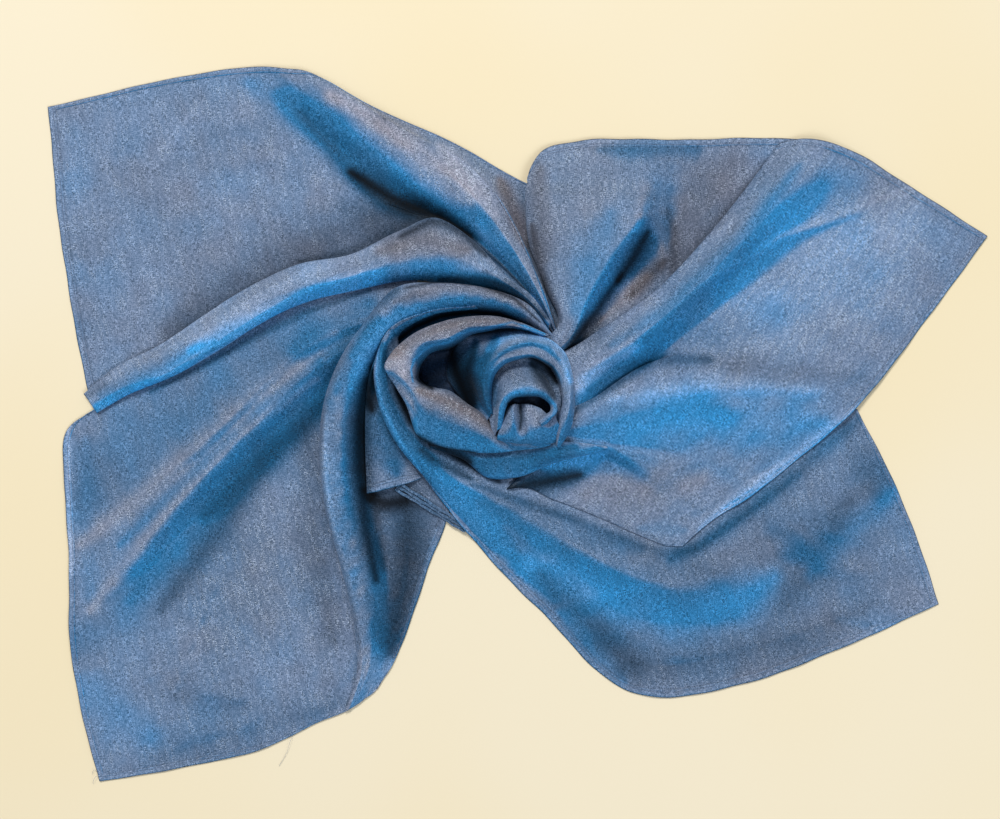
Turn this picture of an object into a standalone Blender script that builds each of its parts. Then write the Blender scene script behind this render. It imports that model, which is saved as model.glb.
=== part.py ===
"""A square voile shawl laid out flat on a table, pinched at its middle and twirled into a rosette.

The cloth is one hemmed square. Twirled, it shows as panels that fan out over the table, pleats that
climb to the rosette, and rolls that stand up in the middle. Each stretch that shows is one wall.

Tables give points in millimetres on a layout sheet, as an eye sees them that looks straight down from
1.5 m over the table: east from the sheet's left edge, south from its top edge, and up from the table.
The model itself is in metres, +Y north and +Z up, with its origin on the table under the cloth.
"""

import bmesh
import bpy
import numpy as np
from mathutils import Vector
from mathutils.bvhtree import BVHTree

MM = 0.001
SHEET_MIDDLE = (518.0, 426.0)
EYE = (500.0, 409.5, 1500.0)
WALL = 1.2
LAYER_GAP = 0.6
CELL = 21.0
ROLL_CELL = 7.0
CORNER_SHARE = 0.06
CORE_TOP = 44.0
WELL_FLOOR = 15.0
CORE_MIDDLE = (505.0, 388.0)
CORE_SPOKES = 36
CORE_RINGS = 12
CORE_REACH = 7.5
PLEAT_CELL = 12.0
EAST_CELL = 17.0

SHOT_BLUE = (0.10, 0.22, 0.42, 1.0)
DEEP_BLUE = (0.05, 0.11, 0.24, 1.0)


def column(table, *names):
    """The named columns of a table as an array, one row for each of its rows."""
    return np.array([[row[name] for name in names] for row in table], float)


def ribs(columns, *rows):
    """A stretch's table: each row is a fold's name and its points, one for each named column."""
    points = np.array([row[1:] for row in rows], float)
    assert points.shape[1] == len(columns) - 1
    return points


def pointed(table, *corners):
    """The table with a rib close to each side of its corner ribs, so that the hem turns sharply."""
    knots = mean_knots(table)
    close = []
    for corner in corners:
        for other in (corner - 1, corner + 1):
            if other < len(table):
                at = knots[corner] + (knots[other] - knots[corner]) * CORNER_SHARE
                rib = smooth_points(table, knots, np.array([at]))[0]
                rib[-1] = table[corner][-1] + (table[other][-1] - table[corner][-1]) * CORNER_SHARE
                close.append((at, rib))
    every = sorted([*zip(knots, table), *close], key=lambda item: item[0])
    return np.array([rib for at, rib in every])


def slopes(values, knots, limited):
    """Slopes at the knots of a smooth curve through values. Limited slopes never overshoot them."""
    steps = np.diff(knots).reshape(-1, *[1] * (values.ndim - 1))
    secants = np.diff(values, axis=0) / steps
    before, after = secants[:-1], secants[1:]
    inner = (before * steps[1:] + after * steps[:-1]) / (steps[1:] + steps[:-1])
    if limited:
        most = 3 * np.minimum(abs(before), abs(after))
        inner = np.where(before * after <= 0, 0, np.clip(inner, -most, most))
    return np.concatenate([secants[:1], inner, secants[-1:]])


def through(values, knots, at, limited=False):
    """Values of the smooth curve through the given values, at new places along its knots."""
    m = slopes(values, knots, limited)
    i = np.clip(np.searchsorted(knots, at, side="right") - 1, 0, len(knots) - 2)
    shape = (-1, *[1] * (values.ndim - 1))
    h = (knots[i + 1] - knots[i]).reshape(shape)
    t = ((at - knots[i]) / (knots[i + 1] - knots[i])).reshape(shape)
    return (
        values[i] * (2 * t**3 - 3 * t**2 + 1)
        + m[i] * h * (t**3 - 2 * t**2 + t)
        + values[i + 1] * (3 * t**2 - 2 * t**3)
        + m[i + 1] * h * (t**3 - t**2)
    )


def smooth_points(points, knots, at):
    """Points along a curve: the plan is free to swing, and the height keeps within its rows."""
    plan = through(points[..., :2], knots, at)
    height = through(points[..., 2:], knots, at, limited=True)
    return np.concatenate([plan, height], axis=-1)


def mean_knots(points):
    """Knots along the first axis, as far apart as the points are on average."""
    chords = np.linalg.norm(np.diff(points, axis=0), axis=-1)
    return np.concatenate([[0.0], np.cumsum(chords.mean(axis=tuple(range(1, chords.ndim))))])


def stations(knots, cell):
    """Places along the knots, evenly spread between each two of them and never skipping one."""
    spans = [np.linspace(a, b, max(1, round((b - a) / cell)) + 1)[:-1] for a, b in zip(knots, knots[1:])]
    return np.concatenate([*spans, knots[-1:]])


def surface(points, cell):
    """A fine grid of points on the smooth surface through a table of ribs."""
    across = mean_knots(points)
    along = mean_knots(points.swapaxes(0, 1))
    grid = smooth_points(points.swapaxes(0, 1), along, stations(along, cell))
    return smooth_points(grid.swapaxes(0, 1), across, stations(across, cell))


def in_frame(grid):
    """Layout points in millimetres, as the eye sees them on the table, as model points in metres."""
    east, south, up = np.moveaxis(grid, -1, 0)
    nearer = 1 - up / EYE[2]
    east = EYE[0] + (east - EYE[0]) * nearer - SHEET_MIDDLE[0]
    north = SHEET_MIDDLE[1] - EYE[1] - (south - EYE[1]) * nearer
    return np.stack([east, north, up], axis=-1) * MM


def normals(grid):
    """Unit normals of a grid of points, on the side that faces up on most of it."""
    tangents = np.gradient(grid, axis=0), np.gradient(grid, axis=1)
    crossed = np.cross(*tangents)
    crossed /= np.maximum(np.linalg.norm(crossed, axis=-1, keepdims=True), 1e-12)
    return crossed if crossed[..., 2].sum() > 0 else -crossed


def tree_of(objects):
    """One search tree over the faces of several objects."""
    points, faces = [], []
    for obj in objects:
        first = len(points)
        points += [v.co.copy() for v in obj.data.vertices]
        faces += [[first + i for i in p.vertices] for p in obj.data.polygons]
    return BVHTree.FromPolygons(points, faces)


def laid_over(grid, below):
    """The grid lifted just clear of the cloth that lies below it."""
    tree = tree_of(below)
    lift = np.zeros(grid.shape[:2])
    for i, j in np.ndindex(*lift.shape):
        x, y, z = grid[i, j]
        hit = tree.ray_cast(Vector((x, y, 1.0)), Vector((0, 0, -1)))[0]
        if hit is not None:
            lift[i, j] = max(0.0, hit.z + (WALL + LAYER_GAP) * MM - z)
    widened = np.pad(lift, 1, mode="edge")
    shape = lift.shape
    around = [widened[a : a + shape[0], b : b + shape[1]] for a in range(3) for b in range(3)]
    lift = np.max(around, axis=0)
    grid = grid.copy()
    grid[..., 2] += lift
    return grid


def wall(name, grid, material):
    """One closed wall of cloth under a grid of points, flat below where it lies on the table."""
    grid = grid.copy()
    grid[..., 2] = np.maximum(grid[..., 2], WALL * MM)
    under = grid - normals(grid) * WALL * MM
    under[..., 2] = np.maximum(under[..., 2], 0.0)
    rows, columns = grid.shape[:2]
    mesh = bmesh.new()
    top = [[mesh.verts.new(p) for p in row] for row in grid]
    bottom = [[mesh.verts.new(p) for p in row] for row in under]
    for i in range(rows - 1):
        for j in range(columns - 1):
            a, b, c, d = (i, j), (i + 1, j), (i + 1, j + 1), (i, j + 1)
            mesh.faces.new([top[r][s] for r, s in (a, b, c, d)])
            mesh.faces.new([bottom[r][s] for r, s in (d, c, b, a)])
    rim = [(i, 0) for i in range(rows)]
    rim += [(rows - 1, j) for j in range(1, columns)]
    rim += [(i, columns - 1) for i in range(rows - 2, -1, -1)]
    rim += [(0, j) for j in range(columns - 2, 0, -1)]
    for (a, b), (c, d) in zip(rim, rim[1:] + rim[:1]):
        mesh.faces.new([top[c][d], top[a][b], bottom[a][b], bottom[c][d]])
    return linked(name, mesh, material)


def cloth_material(name, colour, roughness):
    """A Principled material of one cloth colour."""
    made = bpy.data.materials.new(name)
    made.use_nodes = True
    shader = made.node_tree.nodes["Principled BSDF"]
    shader.inputs["Base Color"].default_value = colour
    shader.inputs["Roughness"].default_value = roughness
    shader.inputs["Metallic"].default_value = 0.0
    return made


# The outline of the hidden core on the table, clockwise from the west.

CORE_OUTLINE = (
    (398, 378),
    (404, 350),
    (432, 330),
    (474, 321),
    (514, 320),
    (552, 327),
    (572, 350),
    (572, 410),
    (560, 444),
    (520, 462),
    (476, 462),
    (442, 448),
    (410, 412),
)

# Panels. Every row is a fold, from where it leaves the rosette out to the cloth's edge.

NORTHWEST = pointed(
    ribs(
        ("fold", "root", "shoulder", "middle", "reach", "hem"),
        ("under west pleat", (549, 326, 30), (498, 277, 19), (400, 255, 3),
         (240, 308, 1), (90, 400, 1)),
        ("west pleat foot", (547, 323, 29), (488, 262, 17), (382, 240, 2),
         (232, 272, 1), (81, 360, 1)),
        ("west hem", (546, 321, 28), (480, 253, 13), (368, 228, 2), (215, 222, 1), (61, 240, 1)),
        ("corner", (545, 319, 27), (474, 246, 9), (358, 212, 2), (208, 165, 1), (48, 107, 1)),
        ("north hem", (545, 317, 26), (469, 239, 6), (356, 192, 3), (242, 124, 3), (150, 83, 1)),
        ("trough", (545, 315, 26), (466, 232, 5), (402, 200, 3), (330, 140, 3), (255, 67, 2)),
        ("blue slope", (546, 313, 31), (478, 228, 17), (414, 184, 13),
         (348, 132, 11), (284, 68, 4)),
        ("crest", (547, 311, 37), (494, 220, 32), (438, 163, 27), (366, 110, 19), (312, 73, 5)),
        ("crest back", (548, 309, 36), (506, 214, 27), (459, 160, 21),
         (402, 127, 13), (362, 101, 3)),
        ("second crest", (549, 307, 37), (519, 236, 30), (498, 195, 23),
         (476, 166, 14), (452, 142, 3)),
        ("east edge", (552, 306, 20), (543, 262, 7), (537, 226, 4), (530, 202, 2), (524, 182, 1)),
    ),
    3,
)

SOUTHWEST = pointed(
    ribs(
        ("fold", "root", "shoulder", "reach", "hem"),
        ("under west pleat", (420, 272, 12), (335, 276, 6), (215, 330, 3), (97, 408, 1)),
        ("north edge", (410, 302, 16), (330, 312, 11), (208, 372, 6), (66, 432, 1)),
        ("first crest", (398, 310, 21), (312, 342, 17), (196, 440, 12), (65, 500, 2)),
        ("dip", (390, 318, 19), (306, 362, 14), (192, 462, 10), (68, 548, 2)),
        ("second crest", (382, 328, 22), (303, 376, 17), (190, 484, 12), (69, 590, 2)),
        ("blue foot", (370, 346, 16), (300, 410, 4), (202, 516, 3), (70, 645, 2)),
        ("upper plateau", (358, 368, 8), (298, 448, 3), (208, 560, 4), (82, 715, 2)),
        ("corner", (345, 405, 4), (292, 492, 3), (212, 612, 4), (99, 782, 1)),
        ("south hem", (340, 450, 2), (302, 545, 3), (246, 654, 4), (190, 766, 1)),
        ("lower plateau", (345, 515, 2), (322, 592, 3), (290, 672, 4), (262, 749, 1)),
        ("pleat foot", (354, 580, 1), (344, 635, 2), (331, 686, 3), (320, 722, 1)),
        ("under pleat", (368, 636, 1), (365, 668, 1), (358, 692, 1), (349, 710, 1)),
    ),
    7,
)

NORTH = ribs(
    ("fold", "root", "shoulder", "middle", "reach", "hem"),
    ("tucked edge", (554, 331, 34), (554, 300, 21), (541, 258, 10), (536, 215, 8), (537, 186, 6)),
    ("west edge", (556, 329, 40), (545, 288, 24), (529, 245, 17), (525, 205, 13), (528, 178, 8)),
    ("west crest", (560, 332, 46), (552, 284, 37), (544, 240, 31), (541, 200, 24), (540, 153, 5)),
    ("shoulder", (563, 336, 46), (568, 286, 39), (576, 245, 36), (580, 203, 29), (577, 141, 3)),
    ("lip", (566, 342, 46), (590, 293, 41), (616, 248, 40), (638, 213, 33), (628, 139, 3)),
    ("under lip", (568, 345, 42), (598, 297, 23), (627, 257, 18), (655, 226, 14), (668, 139, 2)),
    ("hollow", (569, 346, 36), (608, 305, 8), (640, 275, 3), (668, 248, 2), (704, 139, 2)),
    ("floor", (570, 349, 31), (620, 309, 5), (668, 275, 2), (712, 215, 2), (756, 138, 1)),
    ("under east pleat", (571, 352, 26), (636, 312, 3), (694, 268, 1),
     (748, 200, 1), (800, 139, 1)),
)

EAST = pointed(
    ribs(
        ("fold", "root", "shoulder", "middle", "reach", "hem"),
        ("north foot", (562, 352, 38), (610, 322, 18), (662, 284, 8), (722, 218, 4), (780, 143, 2)),
        ("north side", (561, 362, 42), (612, 333, 36), (666, 295, 29),
         (732, 224, 21), (804, 138, 6)),
        ("crest", (562, 376, 44), (617, 350, 40), (675, 306, 34), (748, 232, 29), (828, 142, 11)),
        ("blue slope", (563, 392, 43), (620, 366, 29), (684, 318, 20),
         (776, 236, 15), (864, 157, 5)),
        ("trough", (564, 405, 40), (624, 379, 17), (696, 328, 8), (806, 250, 6), (908, 185, 3)),
        ("corner", (565, 410, 39), (638, 371, 14), (728, 330, 8), (845, 276, 7), (988, 236, 1)),
        ("east hem", (565, 414, 39), (648, 364, 17), (740, 350, 10), (835, 336, 8), (926, 320, 1)),
        ("lower crest", (565, 420, 40), (652, 380, 28), (742, 379, 21),
         (818, 388, 13), (866, 398, 4)),
        ("lower blue", (563, 429, 39), (650, 412, 27), (738, 416, 20),
         (796, 423, 14), (838, 426, 7)),
        ("lower flat", (560, 438, 36), (640, 446, 24), (712, 458, 17),
         (756, 464, 13), (792, 464, 8)),
        ("fold crest", (556, 446, 36), (604, 446, 31), (668, 478, 18),
         (710, 490, 14), (748, 498, 10)),
        ("under fold", (548, 456, 27), (604, 458, 20), (662, 498, 15),
         (694, 512, 13), (712, 520, 10)),
        ("tip", (536, 468, 21), (590, 488, 15), (640, 515, 13), (664, 532, 12), (682, 546, 10)),
        ("tip back", (516, 488, 18), (552, 499, 13), (598, 517, 12),
         (634, 533, 11), (664, 545, 10)),
    ),
    5,
    12,
)

SOUTHEAST = pointed(
    ribs(
        ("fold", "inner edge", "inner side", "crest", "outer side", "low", "hem"),
        ("top", (391, 352, 28), (386, 351, 33), (382, 351, 37),
         (378, 354, 35), (376, 357, 30), (379, 361, 23)),
        ("side", (396, 395, 24), (391, 396, 31), (386, 397, 35),
         (381, 400, 34), (378, 403, 28), (381, 406, 20)),
        ("bend", (430, 431, 19), (413, 434, 27), (406, 436, 31),
         (399, 440, 29), (396, 443, 24), (400, 446, 16)),
        ("foot", (470, 459, 15), (455, 468, 23), (446, 471, 26),
         (438, 475, 23), (430, 481, 15), (429, 484, 9)),
        ("gather", (530, 462, 9), (514, 490, 18), (502, 502, 21),
         (489, 515, 15), (476, 527, 7), (469, 535, 2)),
        ("west", (598, 470, 7), (584, 512, 15), (572, 540, 18),
         (562, 568, 10), (552, 594, 4), (541, 612, 1)),
        ("south", (664, 505, 7), (662, 542, 14), (659, 577, 18),
         (654, 616, 9), (648, 658, 4), (642, 695, 1)),
        ("slope", (712, 500, 7), (718, 536, 13), (722, 568, 16),
         (728, 604, 8), (738, 646, 4), (748, 683, 1)),
        ("valley", (738, 490, 6), (752, 518, 9), (764, 540, 8),
         (786, 576, 6), (814, 620, 4), (846, 646, 1)),
        ("corner", (752, 476, 6), (776, 500, 12), (798, 526, 15),
         (832, 556, 8), (872, 590, 4), (939, 604, 1)),
        ("east hem", (770, 452, 5), (800, 474, 10), (828, 494, 11),
         (860, 512, 5), (890, 522, 2), (915, 532, 1)),
        ("east", (790, 430, 3), (812, 446, 6), (836, 458, 7),
         (858, 468, 4), (876, 474, 2), (893, 480, 1)),
        ("under", (800, 405, 2), (814, 408, 2), (828, 408, 2),
         (840, 407, 1), (849, 407, 1), (857, 409, 1)),
    ),
    9,
)

FLAP = ribs(
    ("section", "west edge", "west", "east", "east edge"),
    ("root", (369, 380, 9), (376, 378, 11), (384, 386, 9), (392, 400, 7)),
    ("middle", (365, 440, 8), (380, 440, 10), (395, 448, 9), (409, 458, 6)),
    ("hem", (367, 493, 5), (386, 489, 7), (405, 484, 6), (422, 478, 3)),
)

# Pleats. Every row is a section across the pleat, from its tucked first edge over the crest.

WEST_PLEAT = ribs(
    ("section", "north tuck", "north edge", "north side", "crest", "south side", "south edge", "tuck"),
    ("hem", (88, 399, 1), (84, 394, 2), (87, 398, 6), (90, 403, 8),
     (94, 409, 7), (97, 413, 5), (94, 409, 4)),
    ("a", (114, 382, 1), (110, 371, 3), (115, 380, 9), (119, 388, 11),
     (122, 394, 9), (126, 396, 5), (122, 392, 4)),
    ("b", (164, 356, 1), (160, 345, 4), (165, 356, 13), (170, 368, 14),
     (174, 374, 11), (178, 374, 4), (173, 370, 2)),
    ("c", (204, 329, 2), (200, 318, 5), (206, 331, 15), (211, 344, 17),
     (216, 351, 12), (220, 349, 5), (214, 346, 3)),
    ("d", (244, 303, 3), (240, 292, 7), (246, 306, 18), (252, 318, 20),
     (257, 325, 15), (260, 323, 6), (254, 319, 4)),
    ("e", (303, 276, 5), (300, 264, 10), (303, 276, 22), (306, 288, 24),
     (309, 297, 18), (311, 301, 8), (306, 296, 6)),
    ("f", (351, 268, 9), (350, 255, 14), (351, 264, 26), (352, 275, 28),
     (353, 285, 21), (354, 291, 11), (351, 285, 8)),
    ("g", (401, 246, 14), (400, 231, 19), (401, 243, 30), (402, 258, 33),
     (403, 272, 27), (404, 281, 16), (402, 275, 13)),
    ("h", (441, 233, 19), (440, 219, 26), (441, 232, 36), (443, 250, 39),
     (445, 268, 33), (447, 281, 22), (449, 288, 14)),
    ("i", (470, 245, 25), (474, 241, 32), (473, 248, 40), (472, 260, 42),
     (471, 273, 38), (471, 284, 29), (473, 292, 20)),
    ("j", (502, 277, 33), (506, 276, 38), (505, 277, 44), (502, 280, 46),
     (500, 283, 43), (498, 286, 37), (500, 292, 28)),
    ("k", (527, 296, 36), (530, 294, 40), (528, 296, 44), (526, 297, 46),
     (524, 298, 43), (523, 299, 39), (525, 304, 31)),
    ("root", (550, 325, 38), (551, 322, 40), (551, 323, 43), (550, 324, 44),
     (549, 325, 43), (548, 326, 40), (549, 330, 33)),
)

SOUTHWEST_PLEAT = ribs(
    ("section", "outer tuck", "outer edge", "crest", "inner side", "low", "foot", "flat", "inner edge"),
    ("root", (549, 334, 36), (551, 333, 39), (553, 336, 42), (555, 340, 40),
     (556, 343, 37), (556, 344, 36), (557, 345, 34), (557, 346, 32)),
    ("a", (524, 307, 36), (526, 303, 40), (524, 308, 45), (521, 312, 43),
     (520, 315, 38), (520, 317, 34), (520, 320, 30), (520, 323, 26)),
    ("b", (491, 293, 33), (490, 289, 38), (489, 295, 47), (488, 304, 43),
     (487, 308, 35), (487, 311, 29), (487, 315, 24), (487, 319, 20)),
    ("c", (441, 287, 28), (440, 283, 34), (442, 290, 46), (445, 303, 42),
     (447, 310, 33), (449, 315, 24), (451, 320, 18), (453, 324, 14)),
    ("d", (401, 293, 22), (396, 288, 28), (400, 297, 43), (407, 313, 38),
     (412, 323, 28), (415, 328, 20), (418, 332, 15), (421, 336, 12)),
    ("e", (365, 335, 15), (359, 331, 21), (366, 336, 38), (378, 342, 34),
     (387, 346, 22), (391, 348, 15), (394, 350, 10), (397, 352, 7)),
    ("f", (339, 378, 6), (333, 376, 12), (339, 377, 32), (354, 381, 30),
     (366, 384, 17), (371, 387, 9), (376, 389, 5), (382, 392, 3)),
    ("g", (325, 442, 2), (320, 441, 8), (325, 441, 28), (341, 442, 27),
     (355, 442, 13), (363, 443, 5), (374, 446, 2), (450, 480, 2)),
    ("h", (330, 506, 2), (325, 506, 7), (330, 505, 26), (346, 504, 24),
     (360, 502, 12), (370, 502, 5), (384, 504, 2), (446, 523, 1)),
    ("i", (345, 566, 2), (341, 567, 6), (346, 565, 23), (360, 562, 20),
     (374, 558, 11), (385, 557, 5), (396, 557, 3), (433, 556, 1)),
    ("j", (358, 630, 1), (355, 631, 4), (360, 629, 17), (370, 625, 16),
     (379, 622, 11), (387, 620, 7), (395, 620, 4), (412, 616, 1)),
    ("k", (360, 670, 1), (357, 671, 3), (361, 671, 11), (368, 668, 11),
     (375, 665, 8), (381, 663, 5), (387, 662, 3), (395, 660, 1)),
    ("hem", (345, 712, 1), (346, 711, 1), (350, 709, 2), (355, 706, 2),
     (361, 702, 2), (366, 698, 2), (372, 694, 1), (378, 687, 1)),
)

# Rolls of the rosette. Every row runs from the roll's foot up its side, over the rim and down inside.

OUTER_ROLL = ribs(
    ("section", "foot", "outer edge", "crest", "brow", "rim", "inside"),
    ("tail", (546, 339, 40), (549, 335, 44), (547, 336, 47),
     (544, 336, 46), (542, 338, 40), (541, 340, 34)),
    ("a", (520, 327, 36), (519, 322, 42), (517, 324, 48),
     (513, 326, 48), (511, 329, 42), (509, 333, 34)),
    ("b", (493, 322, 33), (492, 316, 40), (490, 320, 49),
     (488, 326, 50), (487, 331, 44), (487, 336, 32)),
    ("c", (467, 323, 31), (465, 317, 39), (466, 321, 49),
     (467, 327, 50), (469, 332, 44), (471, 338, 31)),
    ("d", (442, 328, 30), (438, 323, 38), (441, 328, 49),
     (446, 337, 51), (450, 343, 45), (454, 349, 30)),
    ("e", (415, 340, 31), (410, 336, 38), (414, 340, 49),
     (420, 344, 52), (426, 348, 46), (434, 356, 30)),
    ("f", (397, 356, 33), (390, 355, 39), (396, 357, 49),
     (406, 360, 53), (416, 364, 48), (426, 368, 30)),
    ("g", (393, 371, 35), (385, 369, 40), (392, 371, 49),
     (402, 374, 53), (413, 377, 48), (424, 378, 30)),
    ("h", (400, 385, 35), (395, 386, 39), (401, 384, 48),
     (408, 384, 52), (417, 384, 48), (427, 382, 30)),
    ("i", (409, 404, 33), (406, 405, 37), (410, 398, 46),
     (414, 391, 51), (420, 388, 49), (432, 384, 30)),
    ("corner", (420, 430, 30), (417, 436, 34), (420, 419, 43),
     (422, 403, 50), (426, 390, 50), (440, 386, 30)),
    ("j", (441, 440, 31), (440, 446, 34), (438, 428, 43),
     (438, 408, 50), (441, 394, 50), (447, 390, 38)),
    ("k", (468, 445, 32), (468, 452, 35), (464, 436, 43),
     (461, 418, 49), (461, 407, 49), (465, 403, 40)),
    ("l", (494, 446, 33), (495, 453, 36), (489, 444, 42),
     (484, 430, 46), (482, 419, 46), (483, 416, 41)),
    ("m", (518, 444, 34), (519, 450, 35), (512, 447, 37),
     (506, 443, 38), (501, 439, 39), (500, 436, 36)),
)

SOUTH_PETAL = ribs(
    ("section", "top", "crest", "lower edge", "tuck"),
    ("west end", (424, 436, 24), (428, 442, 27), (430, 446, 26), (430, 448, 23)),
    ("west", (452, 440, 24), (456, 449, 29), (461, 457, 26), (462, 459, 22)),
    ("point", (482, 445, 27), (486, 461, 31), (488, 475, 26), (488, 478, 20)),
    ("south", (512, 439, 28), (516, 462, 33), (519, 475, 27), (519, 477, 21)),
    ("east", (543, 439, 33), (548, 455, 37), (552, 461, 32), (552, 464, 26)),
    ("end", (560, 441, 42), (566, 451, 42), (569, 456, 37), (569, 459, 32)),
)

MIDDLE_ROLL = ribs(
    ("section", "foot", "wall", "crest", "groove", "rim", "inside"),
    ("start", (489, 413, 42), (489, 412, 46), (490, 410, 50),
     (490, 409, 49), (491, 409, 48), (493, 410, 42)),
    ("west", (474, 396, 34), (479, 394, 46), (484, 391, 57),
     (487, 390, 56), (489, 390, 55), (492, 390, 45)),
    ("north west", (464, 370, 30), (475, 370, 46), (486, 371, 58),
     (490, 371, 57), (493, 372, 56), (496, 374, 46)),
    ("upper", (476, 348, 32), (486, 352, 47), (495, 358, 60),
     (500, 358, 58), (504, 360, 58), (506, 364, 48)),
    ("north", (498, 337, 36), (505, 341, 50), (512, 347, 61),
     (516, 350, 58), (520, 355, 59), (522, 359, 48)),
    ("crown", (522, 334, 41), (526, 338, 53), (531, 343, 62),
     (532, 347, 59), (532, 354, 60), (532, 358, 49)),
    ("north east", (546, 339, 46), (547, 343, 55), (548, 348, 62),
     (547, 353, 60), (544, 359, 60), (542, 362, 50)),
    ("east top", (563, 352, 49), (562, 356, 57), (560, 360, 62),
     (557, 363, 60), (555, 367, 60), (552, 370, 51)),
    ("east", (572, 376, 50), (571, 377, 57), (568, 379, 61),
     (565, 381, 60), (562, 384, 58), (560, 386, 51)),
    ("east foot", (574, 402, 49), (572, 402, 56), (569, 403, 60),
     (566, 403, 59), (564, 403, 57), (562, 403, 52)),
    ("south east", (571, 424, 48), (569, 422, 54), (566, 420, 58),
     (563, 419, 57), (561, 418, 55), (559, 417, 52)),
    ("tail", (563, 437, 46), (561, 436, 51), (559, 433, 55),
     (557, 431, 55), (555, 430, 53), (553, 429, 51)),
    ("end", (558, 447, 43), (557, 445, 47), (555, 442, 50),
     (553, 440, 50), (551, 439, 49), (549, 437, 48)),
)

INNER_ROLL = ribs(
    ("section", "foot", "wall", "crest", "rim", "inside"),
    ("start", (497, 424, 46), (498, 420, 53), (499, 414, 58), (502, 413, 58), (504, 414, 54)),
    ("west", (495, 404, 46), (498, 403, 54), (502, 402, 62), (505, 404, 61), (507, 406, 55)),
    ("north west", (500, 378, 45), (504, 385, 56), (511, 392, 65), (514, 395, 64), (515, 398, 57)),
    ("north", (514, 366, 45), (520, 376, 57), (527, 388, 66), (527, 393, 65), (527, 397, 58)),
    ("north east", (534, 366, 45), (538, 378, 57), (543, 390, 66), (541, 394, 65), (539, 397, 58)),
    ("east", (548, 380, 46), (552, 389, 56), (555, 402, 65), (552, 403, 64), (549, 404, 57)),
    ("south east", (555, 402, 50), (557, 407, 57), (556, 412, 63), (553, 412, 63), (550, 411, 57)),
    ("tail", (550, 422, 50), (550, 420, 56), (549, 418, 62), (546, 417, 62), (544, 415, 57)),
    ("end", (543, 429, 52), (542, 427, 56), (540, 424, 60), (538, 422, 60), (537, 420, 56)),
)

CENTRE_FOLD = ribs(
    ("section", "foot", "front", "brow", "top", "back"),
    ("west", (500, 439, 41), (501, 436, 46), (502, 430, 49), (505, 421, 50), (509, 410, 50)),
    ("finger", (510, 443, 42), (511, 440, 49), (512, 431, 56), (513, 420, 58), (515, 408, 54)),
    ("valley", (521, 444, 42), (521, 441, 48), (521, 432, 52), (521, 420, 52), (521, 408, 49)),
    ("swell", (534, 444, 42), (533, 441, 49), (531, 434, 55), (530, 423, 57), (529, 410, 53)),
    ("east", (545, 444, 41), (544, 441, 45), (541, 437, 49), (536, 428, 50), (535, 414, 49)),
)


def linked(name, mesh, material):
    """The object of a finished mesh, closed and facing outward."""
    bmesh.ops.recalc_face_normals(mesh, faces=mesh.faces)
    bmesh.ops.triangulate(mesh, faces=mesh.faces)
    data = bpy.data.meshes.new(name)
    mesh.to_mesh(data)
    mesh.free()
    data.materials.append(material)
    data.shade_smooth()
    obj = bpy.data.objects.new(name, data)
    bpy.context.scene.collection.objects.link(obj)
    return obj


def hem_layers(material):
    """The gathered hems that show under the flap: three turned edges stacked like stairs."""
    ends = (
        ("flap", 398.0, 485.0, 1.0),
        ("tip", 460.0, 526.0, 0.7),
    )
    stair = (
        ("lowest foot", 6.0, 2.6),
        ("lowest edge", 6.0, 3.8),
        ("middle foot", 2.5, 3.8),
        ("middle edge", 2.5, 5.0),
        ("top foot", -1.0, 5.0),
        ("top edge", -1.0, 6.2),
        ("back edge", -8.0, 6.2),
        ("back foot", -8.0, 2.6),
    )
    mesh = bmesh.new()
    rings = []
    for name, east, south, share in ends:
        ring = []
        for corner, aside, up in stair:
            place = (east - 0.55 * aside * share, south + 0.83 * aside * share, up)
            ring.append(mesh.verts.new(in_frame(np.array(place))))
        rings.append(ring)
    for k in range(len(stair)):
        following = (k + 1) % len(stair)
        mesh.faces.new([rings[0][k], rings[0][following], rings[1][following], rings[1][k]])
    mesh.faces.new(rings[0])
    mesh.faces.new(rings[1])
    return linked("hem_layers", mesh, material)


def core(material, above):
    """The hidden layers under the rosette as one rounded solid, close under the cloth over it."""
    tree = tree_of(above)
    middle = np.array(CORE_MIDDLE)
    rim = column(CORE_OUTLINE, 0, 1)
    rim = np.concatenate([rim[-2:], rim, rim[:3]])
    knots = np.arange(-2.0, len(CORE_OUTLINE) + 3.0)
    spokes = through(rim, knots, np.linspace(0, len(CORE_OUTLINE), CORE_SPOKES + 1)[:-1])
    around = [(np.cos(a), np.sin(a)) for a in np.linspace(0, 2 * np.pi, 9)[:-1]] + [(0.0, 0.0)]
    mesh = bmesh.new()
    rings = []
    for share in np.linspace(1.0, 0.08, CORE_RINGS):
        ring = []
        for spoke in spokes:
            place = middle + (spoke - middle) * share
            full = np.interp(place[0], (470.0, 500.0), (WELL_FLOOR, CORE_TOP))
            up = 2.0 + (full - 2.0) * np.sqrt(1 - share**4)
            for aside in around:
                x, y, z = in_frame(np.array([*(place + np.array(aside) * CORE_REACH), up]))
                hit = tree.ray_cast(Vector((x, y, -0.01)), Vector((0, 0, 1)))[0]
                if hit is not None:
                    up = min(up, hit.z / MM - LAYER_GAP)
            ring.append(mesh.verts.new(in_frame(np.array([*place, max(up, 1.0)]))))
        rings.append(ring)
    feet = [mesh.verts.new((v.co.x, v.co.y, 0.0)) for v in rings[0]]
    rings.insert(0, feet)
    for lower, upper in zip(rings, rings[1:]):
        for i in range(CORE_SPOKES):
            j = (i + 1) % CORE_SPOKES
            mesh.faces.new([lower[i], lower[j], upper[j], upper[i]])
    mesh.faces.new(feet)
    mesh.faces.new(rings[-1])
    return linked("core", mesh, material)


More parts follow.
